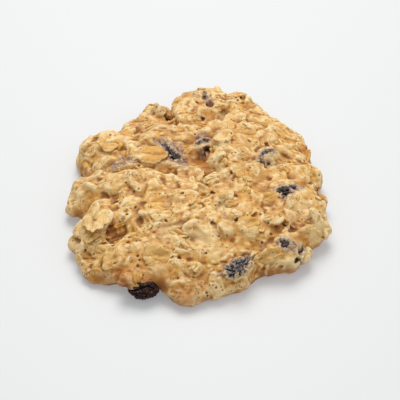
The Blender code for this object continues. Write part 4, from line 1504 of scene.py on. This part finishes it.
def dig(mesh, middles, radii, depths, ragged=PIT_RAGGED):
    """Ragged pits, each as deep as it is told. Gives how deep each point was sunk."""
    points, normals = read_points(mesh), read_normals(mesh)
    tree = KDTree(len(points))
    for index, point in enumerate(points.tolist()):
        tree.insert(point, index)
    tree.balance()
    sunk = np.zeros(len(points))
    for middle, radius, depth in zip(middles, radii, depths):
        found = tree.find_range(middle, PIT_REACH * radius)
        if not found:
            continue
        index = np.array([item[1] for item in found])
        distance = np.array([item[2] for item in found])
        reach = radius * (1.0 + ragged[0] * bumps(points[index], ragged[1]))
        sunk[index] = np.maximum(sunk[index], depth * fading(distance / reach))
    write_points(mesh, points - normals * sunk[:, None])
    return sunk


def set_down(mesh):
    points = read_points(mesh)
    for _, x, y, radius, depth in SET_DOWN:
        share = fading(plan_distance(points, x, y) / radius)
        points[:, 2] -= depth * share * smooth_step(points[:, 2], *SET_DOWN_HEIGHTS)
    write_points(mesh, points)


def undercut(mesh):
    """Draws the wall in under the lips, and a little all round at the foot."""
    points = read_points(mesh)
    angle = np.degrees(np.arctan2(points[:, 1], points[:, 0]))
    reach = np.hypot(points[:, 0], points[:, 1])
    drawn = np.full(len(points), FOOT_DRAWN)
    height = np.full(len(points), FOOT_HEIGHT)
    for _, at, spread, depth, top in LIPS:
        share = fading(turn_between(angle, at) / spread)
        drawn += depth * share
        height += (top - FOOT_HEIGHT) * share
    drawn *= smooth_step(height - points[:, 2], 0.0, 0.5 * height) * smooth_step(reach, *FOOT_REACHES)
    points[:, :2] *= (1.0 - drawn / np.maximum(reach, 1.0))[:, None]
    write_points(mesh, points)


def in_folds(points):
    """How far each point lies in the folds of the dough, from 0 to 1."""
    flat = points[:, :2]
    shade = np.zeros(len(points))
    for _, depth, half_width, path in FOLDS:
        for start, end in zip(path, path[1:]):
            start, run = np.array(start, float), np.subtract(end, start)
            along = np.clip((flat - start) @ run / (run @ run), 0.0, 1.0)
            away = np.linalg.norm(flat - start - along[:, None] * run, axis=1)
            share = fading(away / (FOLD_SPREAD * half_width))
            shade = np.maximum(shade, depth / FOLD_DEEPEST * share)
    return np.clip(shade, 0.0, 1.0)


def dig_pits(mesh):
    """Places let down, then pits and spread pores. Gives how deep each point is in the pits and pores.
    """
    surface = BVHTree.FromPolygons(read_points(mesh).tolist(), faces_of(mesh))
    for table, ragged in ((LET_DOWN, LET_DOWN_RAGGED), (PITS, PIT_RAGGED)):
        met = [(surface.ray_cast(*sight(across, down))[0], radius, depth)
               for across, down, radius, depth in places_of(table)]
        sunk = dig(mesh, *zip(*(row for row in met if row[0])), ragged=ragged)
    draw = random.Random(PORE_SEED)
    points = read_points(mesh)
    high = [point for point in points.tolist() if point[2] > PORE_LOWEST]
    middles = [draw.choice(high) for _ in range(PORES)]
    radii = [draw.uniform(*PORE_SIZES) for _ in middles]
    depths = [draw.uniform(*PORE_DEPTHS) for _ in middles]
    return np.maximum(sunk, dig(mesh, middles, radii, depths))


def places_of(table):
    return [place for region in table.values() for place in region]


def sight(across, down):
    """The camera's place and its line of sight through a place of its picture, in the plan."""
    slope = math.radians(CAMERA_ELEVATION)
    ahead = Vector((0.0, math.cos(slope), -math.sin(slope)))
    up = Vector((0.0, math.sin(slope), math.cos(slope)))
    reach = CAMERA_DISTANCE * PIXELS_PER_MM
    line = ahead * reach - up * (down - 0.5 * IMAGE_SIDE)
    line.x = across - 0.5 * IMAGE_SIDE
    return Vector(CAMERA_AIM) - ahead * CAMERA_DISTANCE, line / reach


def seen_near(points, table):
    """How near each point lies to the lines of sight of a table's places, from 0 to 1."""
    uneven, size = SEEN_WAVER
    waver = 1.0 + uneven * bumps(points, size)
    shade = np.zeros(len(points))
    for across, down, radius, strength in places_of(table):
        eye, line = sight(across, down)
        run, along = points - np.array(eye), np.array(line.normalized())
        away = np.linalg.norm(run - (run @ along)[:, None] * along, axis=1) / (radius * waver)
        shade = np.maximum(shade, strength * fading(away))
    return shade


def seen_on(raisin, across, down):
    """Where a line of sight meets a raisin's smooth skin, or passes it nearest."""
    eye, line = sight(across, down)
    start, after = in_raisin(np.array([eye, eye + line]), raisin)
    run = after - start
    slant, room = start @ run, run @ run
    gone = (-slant - math.sqrt(max(slant ** 2 - room * (start @ start - 1.0), 0.0))) / room
    spot = start + gone * run
    return out_of_raisin(spot[None] / np.linalg.norm(spot), raisin)


def depth_inside(raisin, skin, ragged):
    """How far each point of a raisin's skin lies inside its openings, less if outside."""
    inside = np.full(len(skin), -FAR)
    for across, down, radius in WINDOWS.get(raisin[0], ()):
        away = np.linalg.norm(skin - seen_on(raisin, across, down), axis=1)
        inside = np.maximum(inside, radius * ragged - away)
    return inside


def open_over_raisins(mesh):
    """Openings over the raisins and a thin film over the rest. Gives each point's stain and streaks."""
    points = read_points(mesh)
    stain, streak = np.zeros(len(points)), np.zeros(len(points))
    size, stretch = STREAKS
    for raisin in RAISINS:
        own = in_raisin(points, raisin)
        share = np.linalg.norm(own, axis=1)
        near = share < NEAR_RAISIN
        spots, share = own[near], share[near]
        skin = out_of_raisin(spots / share[:, None], raisin)
        ragged = 1.0 + sum(height * bumps(skin, width) for width, height in WINDOW_RAGGED)
        inside = depth_inside(raisin, skin, ragged)
        opened = smooth_step(inside, -WINDOW_SOFT, WINDOW_SOFT)
        opened *= 1.0 - smooth_step(share, *OPEN_FADE)
        covered = share.copy()
        if raisin[0] not in BARE_RAISINS:
            covered = np.where((share > FILM_BELOW) & (share < FILM), FILM, share)
        final = covered + (WINDOW_DEPTH - covered) * opened
        points[near] = out_of_raisin(spots * (final / share)[:, None], raisin)
        close = smooth_step(inside, -STAIN_REACH, STAIN_FULL)
        stain[near] = np.maximum(stain[near], close * (1.0 - smooth_step(share, *STAIN_FADE)))
        drawn = moved(spots * half_sizes(raisin), lean(*STREAK_LEAN))
        broad = bumps(drawn * np.array(stretch), 2.0 * size)
        streak[near] = broad + FINE_STREAKS * bumps(drawn, size)
    points[:, 2] = np.maximum(points[:, 2], 0.0)
    write_points(mesh, points)
    return np.maximum(stain, seen_near(points, SHADOWS)), streak


def relief_of(mesh, around, rounds):
    """How far each point lies under (+) or over (-) the skin smoothed that many times."""
    points, normals = read_points(mesh), read_normals(mesh)
    smoothed = points.copy()
    for _ in range(rounds):
        smoothed = around.mean(smoothed)
    return ((smoothed - points) * normals).sum(1)


def oat_cover(points, oats):
    """For each point: how near an oat's face is, and that oat's tone and bareness."""
    surface = BVHTree.FromPolygons(oats.place().tolist(), oats.faces)
    first = np.array([face[0] for face in oats.faces])
    distance = np.full(len(points), FAR)
    index = np.zeros(len(points), int)
    for number, point in enumerate(points.tolist()):
        found = surface.find_nearest(point, OAT_SEARCH)
        if found[0] is not None:
            distance[number], index[number] = found[3], found[2]
    corner = first[index]
    return distance, oats.value("tone")[corner], oats.value("bare")[corner]


def room_for_oats(points):
    """Where the scattered oats lie thicker and thinner, from 0 to 1."""
    size, usual, change = CLUMPS
    room = np.clip(usual + change * bumps(points, size), 0.0, 1.0)
    for _, x, y, radius, strength in BARE_DOUGH:
        room *= 1.0 - strength * fading(plan_distance(points, x, y) / radius)
    return room


def browning_and_shade(points, normals):
    """Browning of the underside and the rim, with painted shade in the folds and at many of the places
    that are told apart, from 0 to 1.
    """
    uneven, size = BROWN_WAVER
    waver = 1.0 + uneven * bumps(points, size)
    brown_and_shade = 1.0 - smooth_step(points[:, 2] * waver, *TOAST_HEIGHTS)
    for _, x, y, radius, strength in BROWNED_AND_SHADED:
        away = plan_distance(points, x, y) / radius
        brown_and_shade = np.maximum(brown_and_shade, strength * fading(away * waver))
    folds = FOLD_SHADE * in_folds(points) * smooth_step(points[:, 2], *FOLD_HEIGHTS)
    brown_and_shade = np.maximum(brown_and_shade, folds)
    brown_and_shade = np.maximum(brown_and_shade, seen_near(points, BROWN_AND_SHADE))
    facing_down = smooth_step(RIM_FACING - normals[:, 2], 0.0, RIM_FACING_FULL)
    facing_down *= 1.0 - smooth_step(points[:, 2] * waver, *RIM_HEIGHTS)
    brown_and_shade = np.clip(np.maximum(brown_and_shade, RIM_BROWN * facing_down), 0.0, 1.0)
    return brown_and_shade * (1.0 - PALE_CLEARS * seen_near(points, PALE_AND_LIT))


def thinned(name, mesh, triangles):
    """The mesh with fewer triangles, the flat ones going first. What was stored stays."""
    piece = show(name, mesh)
    start = sum(len(face.vertices) - 2 for face in mesh.polygons)
    change = piece.modifiers.new("Decimate", "DECIMATE")
    change.ratio = min(1.0, triangles / start)
    change.use_collapse_triangulate = True
    return finished_mesh(piece)


def seat_chips(mesh):
    """The small chips in their seats on the finished skin."""
    surface = BVHTree.FromPolygons(read_points(mesh).tolist(), faces_of(mesh))
    for _, across, down, length, width, turn, tilt, roll, proud, crumple, tone in CHIPS:
        spot = surface.ray_cast(*sight(across, down))[0]
        seat = Matrix.Translation(spot + Vector((0.0, 0.0, proud))) @ lean(roll, -tilt, turn)
        yield length, width, seat, crumple, tone


def weathered(points, length, width, number, draw, crumple=1.0):
    """An oat's points with nicks in the edge, folds and blisters; how far out each is; its groove."""
    across, along = points[:, 1] / (0.5 * width), points[:, 0] / (0.5 * length)
    reach = np.hypot(across, along)
    around_it = np.arctan2(across, along)
    for _ in range(NICKS):
        at, depth = draw.uniform(-math.pi, math.pi), draw.uniform(*NICK_DEPTHS)
        gap = (around_it - at + math.pi) % (2.0 * math.pi) - math.pi
        points[:, :2] *= (1.0 - depth * fading(gap / NICK_WIDTH) * reach ** 4)[:, None]
    flat = points * np.array((1.0, 1.0, 0.0))
    height, size = EDGE_WAVER
    uneven = height * crumple * bumps(flat, size, (number, number, 0.0)) * reach
    points[:, :2] *= (1.0 + uneven)[:, None]
    fibre_height, size, stretch = FIBRES
    fibre = bumps(flat * np.array(stretch), size, (number, 0.0, 0.0))
    blister_height, size = BLISTERS
    blister = bumps(flat, size, (0.0, number, 0.0))
    fold_height, size, level = OAT_FOLDS
    fold = np.abs(bumps(flat, size, (0.0, 0.0, number))) - level
    points[:, 2] += fibre_height * fibre + crumple * (blister_height * blister + fold_height * fold)
    groove = fading(across / CRUMPLED_GROOVE) * np.clip(1.0 - reach ** 2, 0.0, 1.0)
    return points, reach, groove


def crisp_oats(flakes, chips):
    """The oats that lie on top with their edges clear of the dough."""
    heap = Heap()
    draw = random.Random(CRISP_SEED)
    whole = [*((number, *flakes[number], CRISP[number], TONES.get(number)) for number in CRISP),
             *((len(flakes) + number, *chip) for number, chip in enumerate(chips))]
    for number, length, width, seat, crumple, tone in whole:
        points, faces = oat_shape(length, width, number, **CRISP_SHAPE)
        along = points[:, 0] + GRAIN_APART * number
        points, reach, groove = weathered(points, length, width, max(number, 0.4), draw, crumple)
        way = draw.uniform(-math.pi, math.pi)
        slope = math.tan(math.radians(draw.uniform(*CRISP_SLOPE)))
        points[:, 2] += slope * (math.cos(way) * points[:, 0] + math.sin(way) * points[:, 1])
        points[:, 2] += LIFTED.get(number, 0.0) - SUNK.get(number, 0.0) - CRISP_SINK
        drawn, bare = draw.random(), draw.uniform(*CRISP_BARE)
        heap.add(kept_off_floor(moved(points, seat)), faces, tone=drawn if tone is None else tone,
                 bare=CLEAN_BARE if number in CLEAN else bare, rim=reach, groove=groove,
                 across=points[:, 1], along=along)
    return heap


def bit_shape(number):
    """A scrap of oat with few faces."""
    length, width, growth = BIT_SIZE
    return oat_shape(length, width + growth * number, BIT_NUMBER + number,
                     broken=OAT_BREAK * (number % 3), **BIT_SHAPE)


def sliver_shape(number):
    """A broken oat with a thin, ragged edge."""
    own = SLIVER_NUMBER + number
    draw = random.Random(own)
    width = draw.uniform(*SLIVER_WIDTHS)
    points, faces = oat_shape(SLIVER_LENGTH, width, own, broken=SLIVER_BREAK * (number % 3),
                              **SLIVER_SHAPE)
    return weathered(points, SLIVER_LENGTH, width, own, draw)[0], faces


def scatter_pieces(heap, skin, tree, spec, name, shapes, material):
    """Small pieces scattered on the finished skin."""
    collection = shape_collection(name, shapes)
    scatter_onto(heap, skin, tree, collection, spec, INHERITED, material)
    drop_collection(collection)


def crumb_shape(number):
    """A crumb: a dented lump with few faces."""
    draw = random.Random(CRUMB_NUMBER + number)
    ball = bmesh.new()
    bmesh.ops.create_uvsphere(ball, u_segments=6, v_segments=4, radius=0.5)
    points, faces = taken_apart(ball)
    dent, size = CRUMB_DENTS
    points *= 1.0 + dent * bumps(points, size, (draw.uniform(0, 9), 0.0, 0.0))[:, None]
    width, height = draw.uniform(*CRUMB_WIDTHS), draw.uniform(*CRUMB_HEIGHTS)
    return points * np.array((1.0, width, height)), faces


def core_for_scatter():
    """The bare dough with how freely oats may lie on it."""
    core = dough_core(SKIN_GRID)
    mesh = bpy.data.meshes.new("core")
    core.to_mesh(mesh)
    core.free()
    facing_up = smooth_step(read_normals(mesh)[:, 2], *CORE_FACING)
    store(mesh, "free", room_for_oats(read_points(mesh)) * facing_up)
    return mesh


def shape_skin(mesh, oats):
    """Films, crumb, pits and openings of the skin, with all that its finish reads."""
    around = Around(mesh)
    film_over(mesh, around, *THICK_FILM)
    distance, tones, bares = oat_cover(read_points(mesh), oats)
    oat = around.mean(around.mean(1.0 - smooth_step(distance, *OAT_COVERED)))
    crumble(mesh, oat)
    film_over(mesh, around, *BAKED_FILM)
    set_down(mesh)
    undercut(mesh)
    sunk = dig_pits(mesh)
    stain, streak = open_over_raisins(mesh)
    film_over(mesh, around, *LAST_FILM)
    points, normals = read_points(mesh), read_normals(mesh)
    cleft_shade = CLEFT * seen_near(points, SHADED_CLEFTS)
    kept = {
        "oat": oat,
        "tone": around.mean(tones),
        "bare": around.mean(bares),
        "toast": browning_and_shade(points, normals),
        "pale": seen_near(points, PALE_AND_LIT),
        "stain": stain,
        "streak": streak,
        "edge": relief_of(mesh, around, EDGE_ROUNDS),
        "hollow": sum(weight * relief_of(mesh, around, rounds) for rounds, weight in HOLLOW_ROUNDS),
        "pit": np.clip(np.maximum(sunk, cleft_shade), 0.0, DEEPEST_PIT),
        "free": (room_for_oats(points) * (1.0 - np.clip(STAIN_CLEARS * stain, 0.0, 1.0))
                 * (1.0 - np.clip(PIT_CLEARS * sunk, 0.0, 1.0))
                 * smooth_step(normals[:, 2], *SKIN_FACING)),
    }
    for name, values in kept.items():
        store(mesh, name, values)


def build_dough(material, oat_material):
    seat_core = dough_core(SEAT_GRID)
    flakes = [*named_flakes(seat_core), *spread_flakes(seat_core)]
    seat_core.free()
    core = core_for_scatter()
    tree = scatter_tree()
    oats = gather_oats(flakes, core, tree, material)
    whole = Heap()
    whole.add(read_points(core), faces_of(core))
    for heap in (oats, raisin_coats(), fillings()):
        whole.add(heap.place(), heap.faces)
    bpy.data.meshes.remove(core)
    mesh = remeshed("dough_skin", whole.place(), whole.faces, VOXEL)
    shape_skin(mesh, oats)
    bits, crumbs = Heap(), Heap()
    for heap, spec, name, shape, kinds, finish in (
            (bits, BITS, "bit", bit_shape, BIT_KINDS, oat_material),
            (bits, SLIVERS, "sliver", sliver_shape, SLIVER_KINDS, oat_material),
            (crumbs, CRUMBS, "crumb", crumb_shape, CRUMB_KINDS, material)):
        scatter_pieces(heap, mesh, tree, spec, name, map(shape, range(kinds)), finish)
    crisp = crisp_oats(flakes, list(seat_chips(mesh))).mesh("crisp_oats")
    store(crisp, "toast", browning_and_shade(read_points(crisp), read_normals(crisp)))
    mesh = thinned("dough_skin", mesh, SKIN_TRIANGLES)
    place_piece("dough_skin", mesh, material, ("dough",))
    place_piece("crisp_oats", crisp, oat_material)
    place_piece("oat_bits", bits.mesh("oat_bits"), oat_material)
    place_piece("dough_crumbs", crumbs.mesh("dough_crumbs"), material)


def build_raisin(raisin, material):
    """A dried berry, furrowed as its solid is, with finer wrinkles between the furrows."""
    mesh = bmesh.new()
    bmesh.ops.create_icosphere(mesh, subdivisions=RAISIN_FINENESS, radius=1.0)
    own = Vector(raisin[1:4])
    for vertex in mesh.verts:
        round_it = math.atan2(vertex.co.z, vertex.co.y)
        waver = FURROW_WAVER * noise.noise(vertex.co * WAVER_FINENESS + own)
        furrow = abs(math.sin(0.5 * RAISIN_FURROWS * round_it + waver + own.x))
        fold = max(0.0, noise.noise(vertex.co * FOLD_FINENESS + own))
        reach = 1.0 - FURROW_DEPTH * (1.0 - furrow ** FURROW_SHARPNESS) - FOLD_DEPTH * fold
        for fineness, seed, height in WRINKLES:
            wrinkle = abs(noise.noise(vertex.co * fineness + own * seed))
            reach += height * min(wrinkle, WRINKLE_TOP)
        vertex.co *= reach - WRINKLE_DROP
    bmesh.ops.scale(mesh, verts=mesh.verts[:], vec=half_sizes(raisin).tolist())
    mesh.transform(raisin_seat(raisin))
    data = bpy.data.meshes.new(raisin[0])
    mesh.to_mesh(data)
    mesh.free()
    write_points(data, kept_off_floor(read_points(data)))
    store(data, "hollow", relief_of(data, Around(data), RAISIN_HOLLOW_ROUNDS))
    store(data, "bloom", np.full(len(data.vertices), BLOOM_AND_SHEEN.get(raisin[0], USUAL_BLOOM_AND_SHEEN)))
    data = thinned(raisin[0], data, RAISIN_TRIANGLES)
    place_piece(raisin[0] + "_skin", data, material, (raisin[0],))


# ---------------------------------------------------------------- finishes
def speck_group():
    """Dark specks or pores: a share of cells, spaced evenly, holds one each."""
    group, net, given, result = new_group(
        "Specks", "ShaderNodeTree",
        (("Vector", "Vector", None), ("Spacing", "Float", 2.0),
         ("Radius", "Float", 0.3), ("Share", "Float", 0.5)),
        (("Mask", "Float"), ("Height", "Float")))
    cells = net.add("ShaderNodeTexVoronoi",
                    {"Vector": given["Vector"], "Scale": net.sum("DIVIDE", 1.0, given["Spacing"]),
                     "Randomness": 1.0}, feature="F1", voronoi_dimensions="3D")
    away = net.times(cells.outputs["Distance"], given["Spacing"])
    drawn = net.add("ShaderNodeSeparateColor", {"Color": cells.outputs["Color"]}).outputs
    there = net.sum("LESS_THAN", drawn["Red"], given["Share"])
    radius = net.times(given["Radius"], net.sum("ADD", 0.6, drawn["Green"]))
    edge = net.sum("SUBTRACT", 1.0, net.sum("DIVIDE", away, radius), clamp=True)
    mask = net.times(net.ramp(edge, 0.0, 0.55), there)
    net.feed(result, "Mask", mask)
    net.feed(result, "Height", net.times(mask, -1.0))
    return group


def crack_group():
    """Hairline cracks in patches."""
    group, net, given, result = new_group(
        "Hairline cracks", "ShaderNodeTree",
        (("Vector", "Vector", None), ("Size", "Float", 3.0)),
        (("Mask", "Float"),))
    scale = net.sum("DIVIDE", 1.0, given["Size"])
    wander = net.noise(given["Vector"], scale, 3.0, 0.6)
    off = net.sum("ABSOLUTE", net.sum("SUBTRACT", wander, 0.5))
    patches = net.noise(given["Vector"], net.times(scale, 0.7))
    net.feed(result, "Mask", net.times(net.ramp(off, 0.006, 0.024, 1.0, 0.0),
                                     net.ramp(patches, 0.52, 0.6)))
    return group


def crumb_group():
    """Crumb of what is baked: fine grains for the bump and a mottling for the colour."""
    group, net, given, result = new_group(
        "Baked crumb", "ShaderNodeTree",
        (("Vector", "Vector", None), ("Size", "Float", 0.6),
         ("Grain", "Float", 0.5)),
        (("Height", "Float"), ("Mottle", "Float")))
    scale = net.sum("DIVIDE", 1.0, given["Size"])
    coarse = net.noise(given["Vector"], scale, 4.0, 0.62)
    cells = net.out("ShaderNodeTexVoronoi", "Distance",
                    {"Vector": given["Vector"], "Scale": net.times(scale, 0.8)},
                    feature="SMOOTH_F1")
    grains = net.times(net.sum("SUBTRACT", 0.6, cells), given["Grain"])
    net.feed(result, "Height", net.sum("ADD", coarse, grains))
    net.feed(result, "Mottle",
             net.noise(given["Vector"], net.times(scale, 0.45), 3.0, 0.6))
    return group


def mottle_group():
    """A colour made lighter and darker by a mottling, which its blue follows most."""
    group, net, given, result = new_group(
        "Mottled colour", "ShaderNodeTree",
        (("Colour", "Color", None), ("Mottle", "Float", 1.0)),
        (("Colour", "Color"),))
    levels = net.out("ShaderNodeCombineColor", "Color",
                     {"Red": net.sum("POWER", given["Mottle"], MOTTLE_RED),
                      "Green": given["Mottle"],
                      "Blue": net.sum("POWER", given["Mottle"], MOTTLE_BLUE)})
    net.feed(result, "Colour", net.mix(1.0, given["Colour"], levels, "MULTIPLY"))
    return group


def new_finish(name):
    """A material with its net, its shader and its place on the piece in millimetres."""
    material = bpy.data.materials.new(name)
    material.use_nodes = True
    net = Net(material.node_tree)
    shader = material.node_tree.nodes["Principled BSDF"]
    place = net.out("ShaderNodeTexCoord", "Object")
    vector = net.out("ShaderNodeMapping", "Vector",
                     {"Vector": place, "Scale": (1.0 / MM, 1.0 / MM, 1.0 / MM)})
    return material, net, shader, vector


def use_group(net, group, feeds):
    return net.add("ShaderNodeGroup", feeds, node_tree=group).outputs


def glow_inside(shader, colour, reach):
    """The shine of a baked surface, and how light runs on under it."""
    shader.inputs["Specular IOR Level"].default_value = BAKED_SHINE
    shader.inputs["Subsurface Weight"].default_value = BAKED_GLOW
    shader.inputs["Subsurface Radius"].default_value = colour
    shader.inputs["Subsurface Scale"].default_value = reach * MM


def dough_finish(groups):
    material, net, shader, vector = new_finish("baked dough")
    crumb = use_group(net, groups["crumb"], {"Vector": vector, "Size": 0.9, "Grain": 0.5})
    pores = use_group(net, groups["specks"],
                      {"Vector": vector, "Spacing": 2.2, "Radius": 0.26, "Share": 0.3})
    bran = use_group(net, groups["specks"],
                     {"Vector": vector, "Spacing": 1.2, "Radius": 0.3,
                      "Share": net.patches(vector, "bran in the dough")})
    cracks = use_group(net, groups["cracks"], {"Vector": vector, "Size": 3.0})

    # The dough, and the oats that show through it.
    colour = linear("tan dough")
    for name in DOUGH_PATCHES:
        colour = net.tint(colour, net.patches(vector, name), name)
    oat_colour = net.tint(linear("yellow oat"), net.kept("tone"), "cream oat")
    shown = net.times(net.kept_ramp("bare", 0.1, 0.9, 0.3, 0.95),
                    net.patches(vector, "oats through the dough"))
    colour = net.mix(net.times(net.kept("oat"), shown), colour, oat_colour)
    mottle = net.times(net.ramp(crumb["Mottle"], *MOTTLE_RANGE, 0.84, 1.12),
                     net.patches(vector, "fine mottle"))
    colour = use_group(net, groups["mottle"], {"Colour": colour, "Mottle": mottle})["Colour"]

    # Painted highlights on edges, painted shade in hollows, painted light on lighter places, and
    # browning with painted shade.
    colour = net.tints(colour, LIGHT_SHADE_AND_BROWN_TINTS)
    deep_brown_and_shade = net.times(net.kept_ramp("toast", 0.7, 1.0),
                    net.patches(vector, "deep toasted"))
    colour = net.tint(colour, deep_brown_and_shade, "deep toasted")

    # Films over the raisins.
    film = net.tint(linear("raisin film"), net.patches(vector, "stained film"), "raisin stain")
    film = net.tint(film, net.kept_ramp("streak", 0.02, 0.24, 0.0, 0.95), "film streak")
    filmed = net.times(net.kept_ramp("stain", 0.1, 0.7, 0.0, 0.9),
                     net.patches(vector, "film over a raisin"))
    colour = net.mix(filmed, colour, film)

    # Cracks, painted shade in pits and clefts, and specks.
    colour = net.tint(colour, net.times(cracks["Mask"], 0.75), "crevice")
    colour = net.tints(colour, PIT_SHADE_TINTS)
    marks = net.sum("MAXIMUM", pores["Mask"], net.times(bran["Mask"], 0.85))
    colour = net.tint(colour, net.times(marks, 0.8), "speck")

    net.feed(shader, "Base Color", colour)
    net.feed(shader, "Roughness", net.patches(vector, "dough's gloss"))
    height = net.sum("ADD", crumb["Height"], net.times(pores["Height"], 0.9))
    net.bump(shader, 0.6, 0.35, height)
    glow_inside(shader, *DOUGH_GLOW)
    return material


def oat_finish(groups):
    material, net, shader, vector = new_finish("oat flake")
    crumb = use_group(net, groups["crumb"], {"Vector": vector, "Size": 0.7, "Grain": 0.4})
    bran = use_group(net, groups["specks"],
                     {"Vector": vector, "Spacing": 1.2, "Radius": 0.2, "Share": 0.3})
    colour = net.tint(linear("yellow oat"), net.kept("tone"), "cream oat")
    # The groove, and a painted highlight on the rims.
    colour = net.tints(colour, OAT_TINTS)
    coat = net.times(net.patches(vector, "dough on the oats"),
                   net.kept_ramp("bare", 0.2, 1.15, 1.0, 0.0))
    colour = net.tint(colour, coat, "golden dough")
    grain = net.out("ShaderNodeCombineXYZ", "Vector",
                    {"X": net.times(net.kept("along"), GRAIN_SLENDER),
                     "Y": net.kept("across")})
    fibres = net.noise(grain, 2.0, 3.0, 0.6)
    colour = net.tint(colour, net.ramp(fibres, 0.5, 0.66, 0.0, 0.55), "oat groove")
    mottle = net.ramp(crumb["Mottle"], *MOTTLE_RANGE, 0.82, 1.12)
    colour = use_group(net, groups["mottle"], {"Colour": colour, "Mottle": mottle})["Colour"]
    colour = net.tint(colour, net.times(bran["Mask"], 0.6), "speck")
    colour = net.tints(colour, TOASTED_AND_SHADED_OAT)
    net.feed(shader, "Base Color", colour)
    net.feed(shader, "Roughness", net.ramp(crumb["Mottle"], *MOTTLE_RANGE, 0.46, 0.62))
    net.bump(shader, 0.5, 0.25, net.sum("SUBTRACT", crumb["Height"], fibres))
    glow_inside(shader, *OAT_GLOW)
    return material


def raisin_finish(name, groups, shine):
    material, net, shader, vector = new_finish(name)
    crumb = use_group(net, groups["crumb"], {"Vector": vector, "Size": 0.7, "Grain": 0.3})
    # Painted highlight on the ridges of the wrinkles.
    colour = net.tint(linear("raisin skin"), net.kept_ramp("hollow", 0.02, -0.12), "raisin ridge highlight")
    warm = net.times(net.patches(vector, "raisin brown"),
                   net.kept_ramp("bloom", 0.0, 1.0, 0.8, 0.25))
    colour = net.tint(colour, warm, "raisin brown")
    # Bluish bloom and a painted sheen on the ridges, most on the lower right raisin.
    bloom = net.times(net.patches(vector, "raisin bloom and sheen"),
                    net.kept_ramp("hollow", 0.02, -0.1))
    bloom = net.times(bloom, net.kept_ramp("bloom", 0.0, 1.0, 0.0, 0.9))
    colour = net.tint(colour, bloom, "raisin bloom and sheen")
    glint = net.times(net.patches(vector, "raisin glint"),
                    net.kept_ramp("bloom", 0.0, 0.3, 0.7, 0.0))
    glint = net.times(glint, net.kept_ramp("hollow", -0.02, -0.12))
    colour = net.tint(colour, glint, "raisin glint")
    net.feed(shader, "Base Color", colour)
    net.feed(shader, "Roughness", net.ramp(crumb["Mottle"], *MOTTLE_RANGE, 0.22, 0.42))
    shader.inputs["Specular IOR Level"].default_value = shine
    shader.inputs["Specular Tint"].default_value = RAISIN_TINT
    net.bump(shader, 0.5, 0.2, crumb["Height"])
    return material


# ---------------------------------------------------------------- floor, light and camera
def build_floor():
    corners = [(x * FLOOR_REACH, y * FLOOR_REACH, 0.0) for x, y in ((-1, -1), (1, -1), (1, 1), (-1, 1))]
    mesh = mesh_from("floor", corners, [(0, 1, 2, 3)])
    material, net, shader, _ = new_finish("pale floor")
    net.feed(shader, "Base Color", linear("floor"))
    net.feed(shader, "Roughness", 0.5)
    net.feed(shader, "Emission Color", linear("floor"))
    net.feed(shader, "Emission Strength", FLOOR_GLOW)
    mesh.materials.append(material)
    show("floor", mesh)


def build_light(name, place, size, energy, colour):
    light = bpy.data.lights.new(name, "AREA")
    light.shape = "DISK"
    light.size = size
    light.energy = energy
    light.color = colour
    lamp = bpy.data.objects.new(name, light)
    lamp.location = place
    lamp.rotation_euler = (-Vector(place)).to_track_quat("-Z", "Y").to_euler()
    bpy.context.scene.collection.objects.link(lamp)


def build_surroundings():
    build_floor()
    for light in LIGHTS:
        build_light(*light)
    world = bpy.data.worlds.new("studio")
    bpy.context.scene.world = world
    world.use_nodes = True
    air = world.node_tree.nodes["Background"]
    air.inputs["Color"].default_value = AIR_COLOUR
    air.inputs["Strength"].default_value = AIR_STRENGTH
    bpy.context.scene.view_settings.view_transform = "Standard"


def build_camera():
    """The camera of the photograph, aimed at a point in the plan."""
    camera = bpy.data.cameras.new("camera")
    camera.sensor_width = SENSOR
    camera.lens = SENSOR * PIXELS_PER_MM * CAMERA_DISTANCE / IMAGE_SIDE
    camera.clip_start, camera.clip_end = CLIPPING
    eye = bpy.data.objects.new("camera", camera)
    slope = math.radians(CAMERA_ELEVATION)
    aim = Vector(CAMERA_AIM) - Vector((*CENTRE, 0.0))
    back = Vector((0.0, -math.cos(slope), math.sin(slope))) * CAMERA_DISTANCE
    eye.location = (aim + back) * MM
    eye.rotation_euler = (math.radians(90.0 - CAMERA_ELEVATION), 0.0, 0.0)
    bpy.context.scene.collection.objects.link(eye)
    bpy.context.scene.camera = eye


# ---------------------------------------------------------------- all together
def main():
    groups = {"specks": speck_group(), "crumb": crumb_group(), "cracks": crack_group(),
              "mottle": mottle_group()}
    build_dough(dough_finish(groups), oat_finish(groups))
    bare = raisin_finish("bare raisin", groups, BARE_SHINE)
    filmed = raisin_finish("raisin in its film", groups, FILMED_SHINE)
    for raisin in RAISINS:
        build_raisin(raisin, bare if raisin[0] in BARE_RAISINS else filmed)
    build_surroundings()
    build_camera()


main()
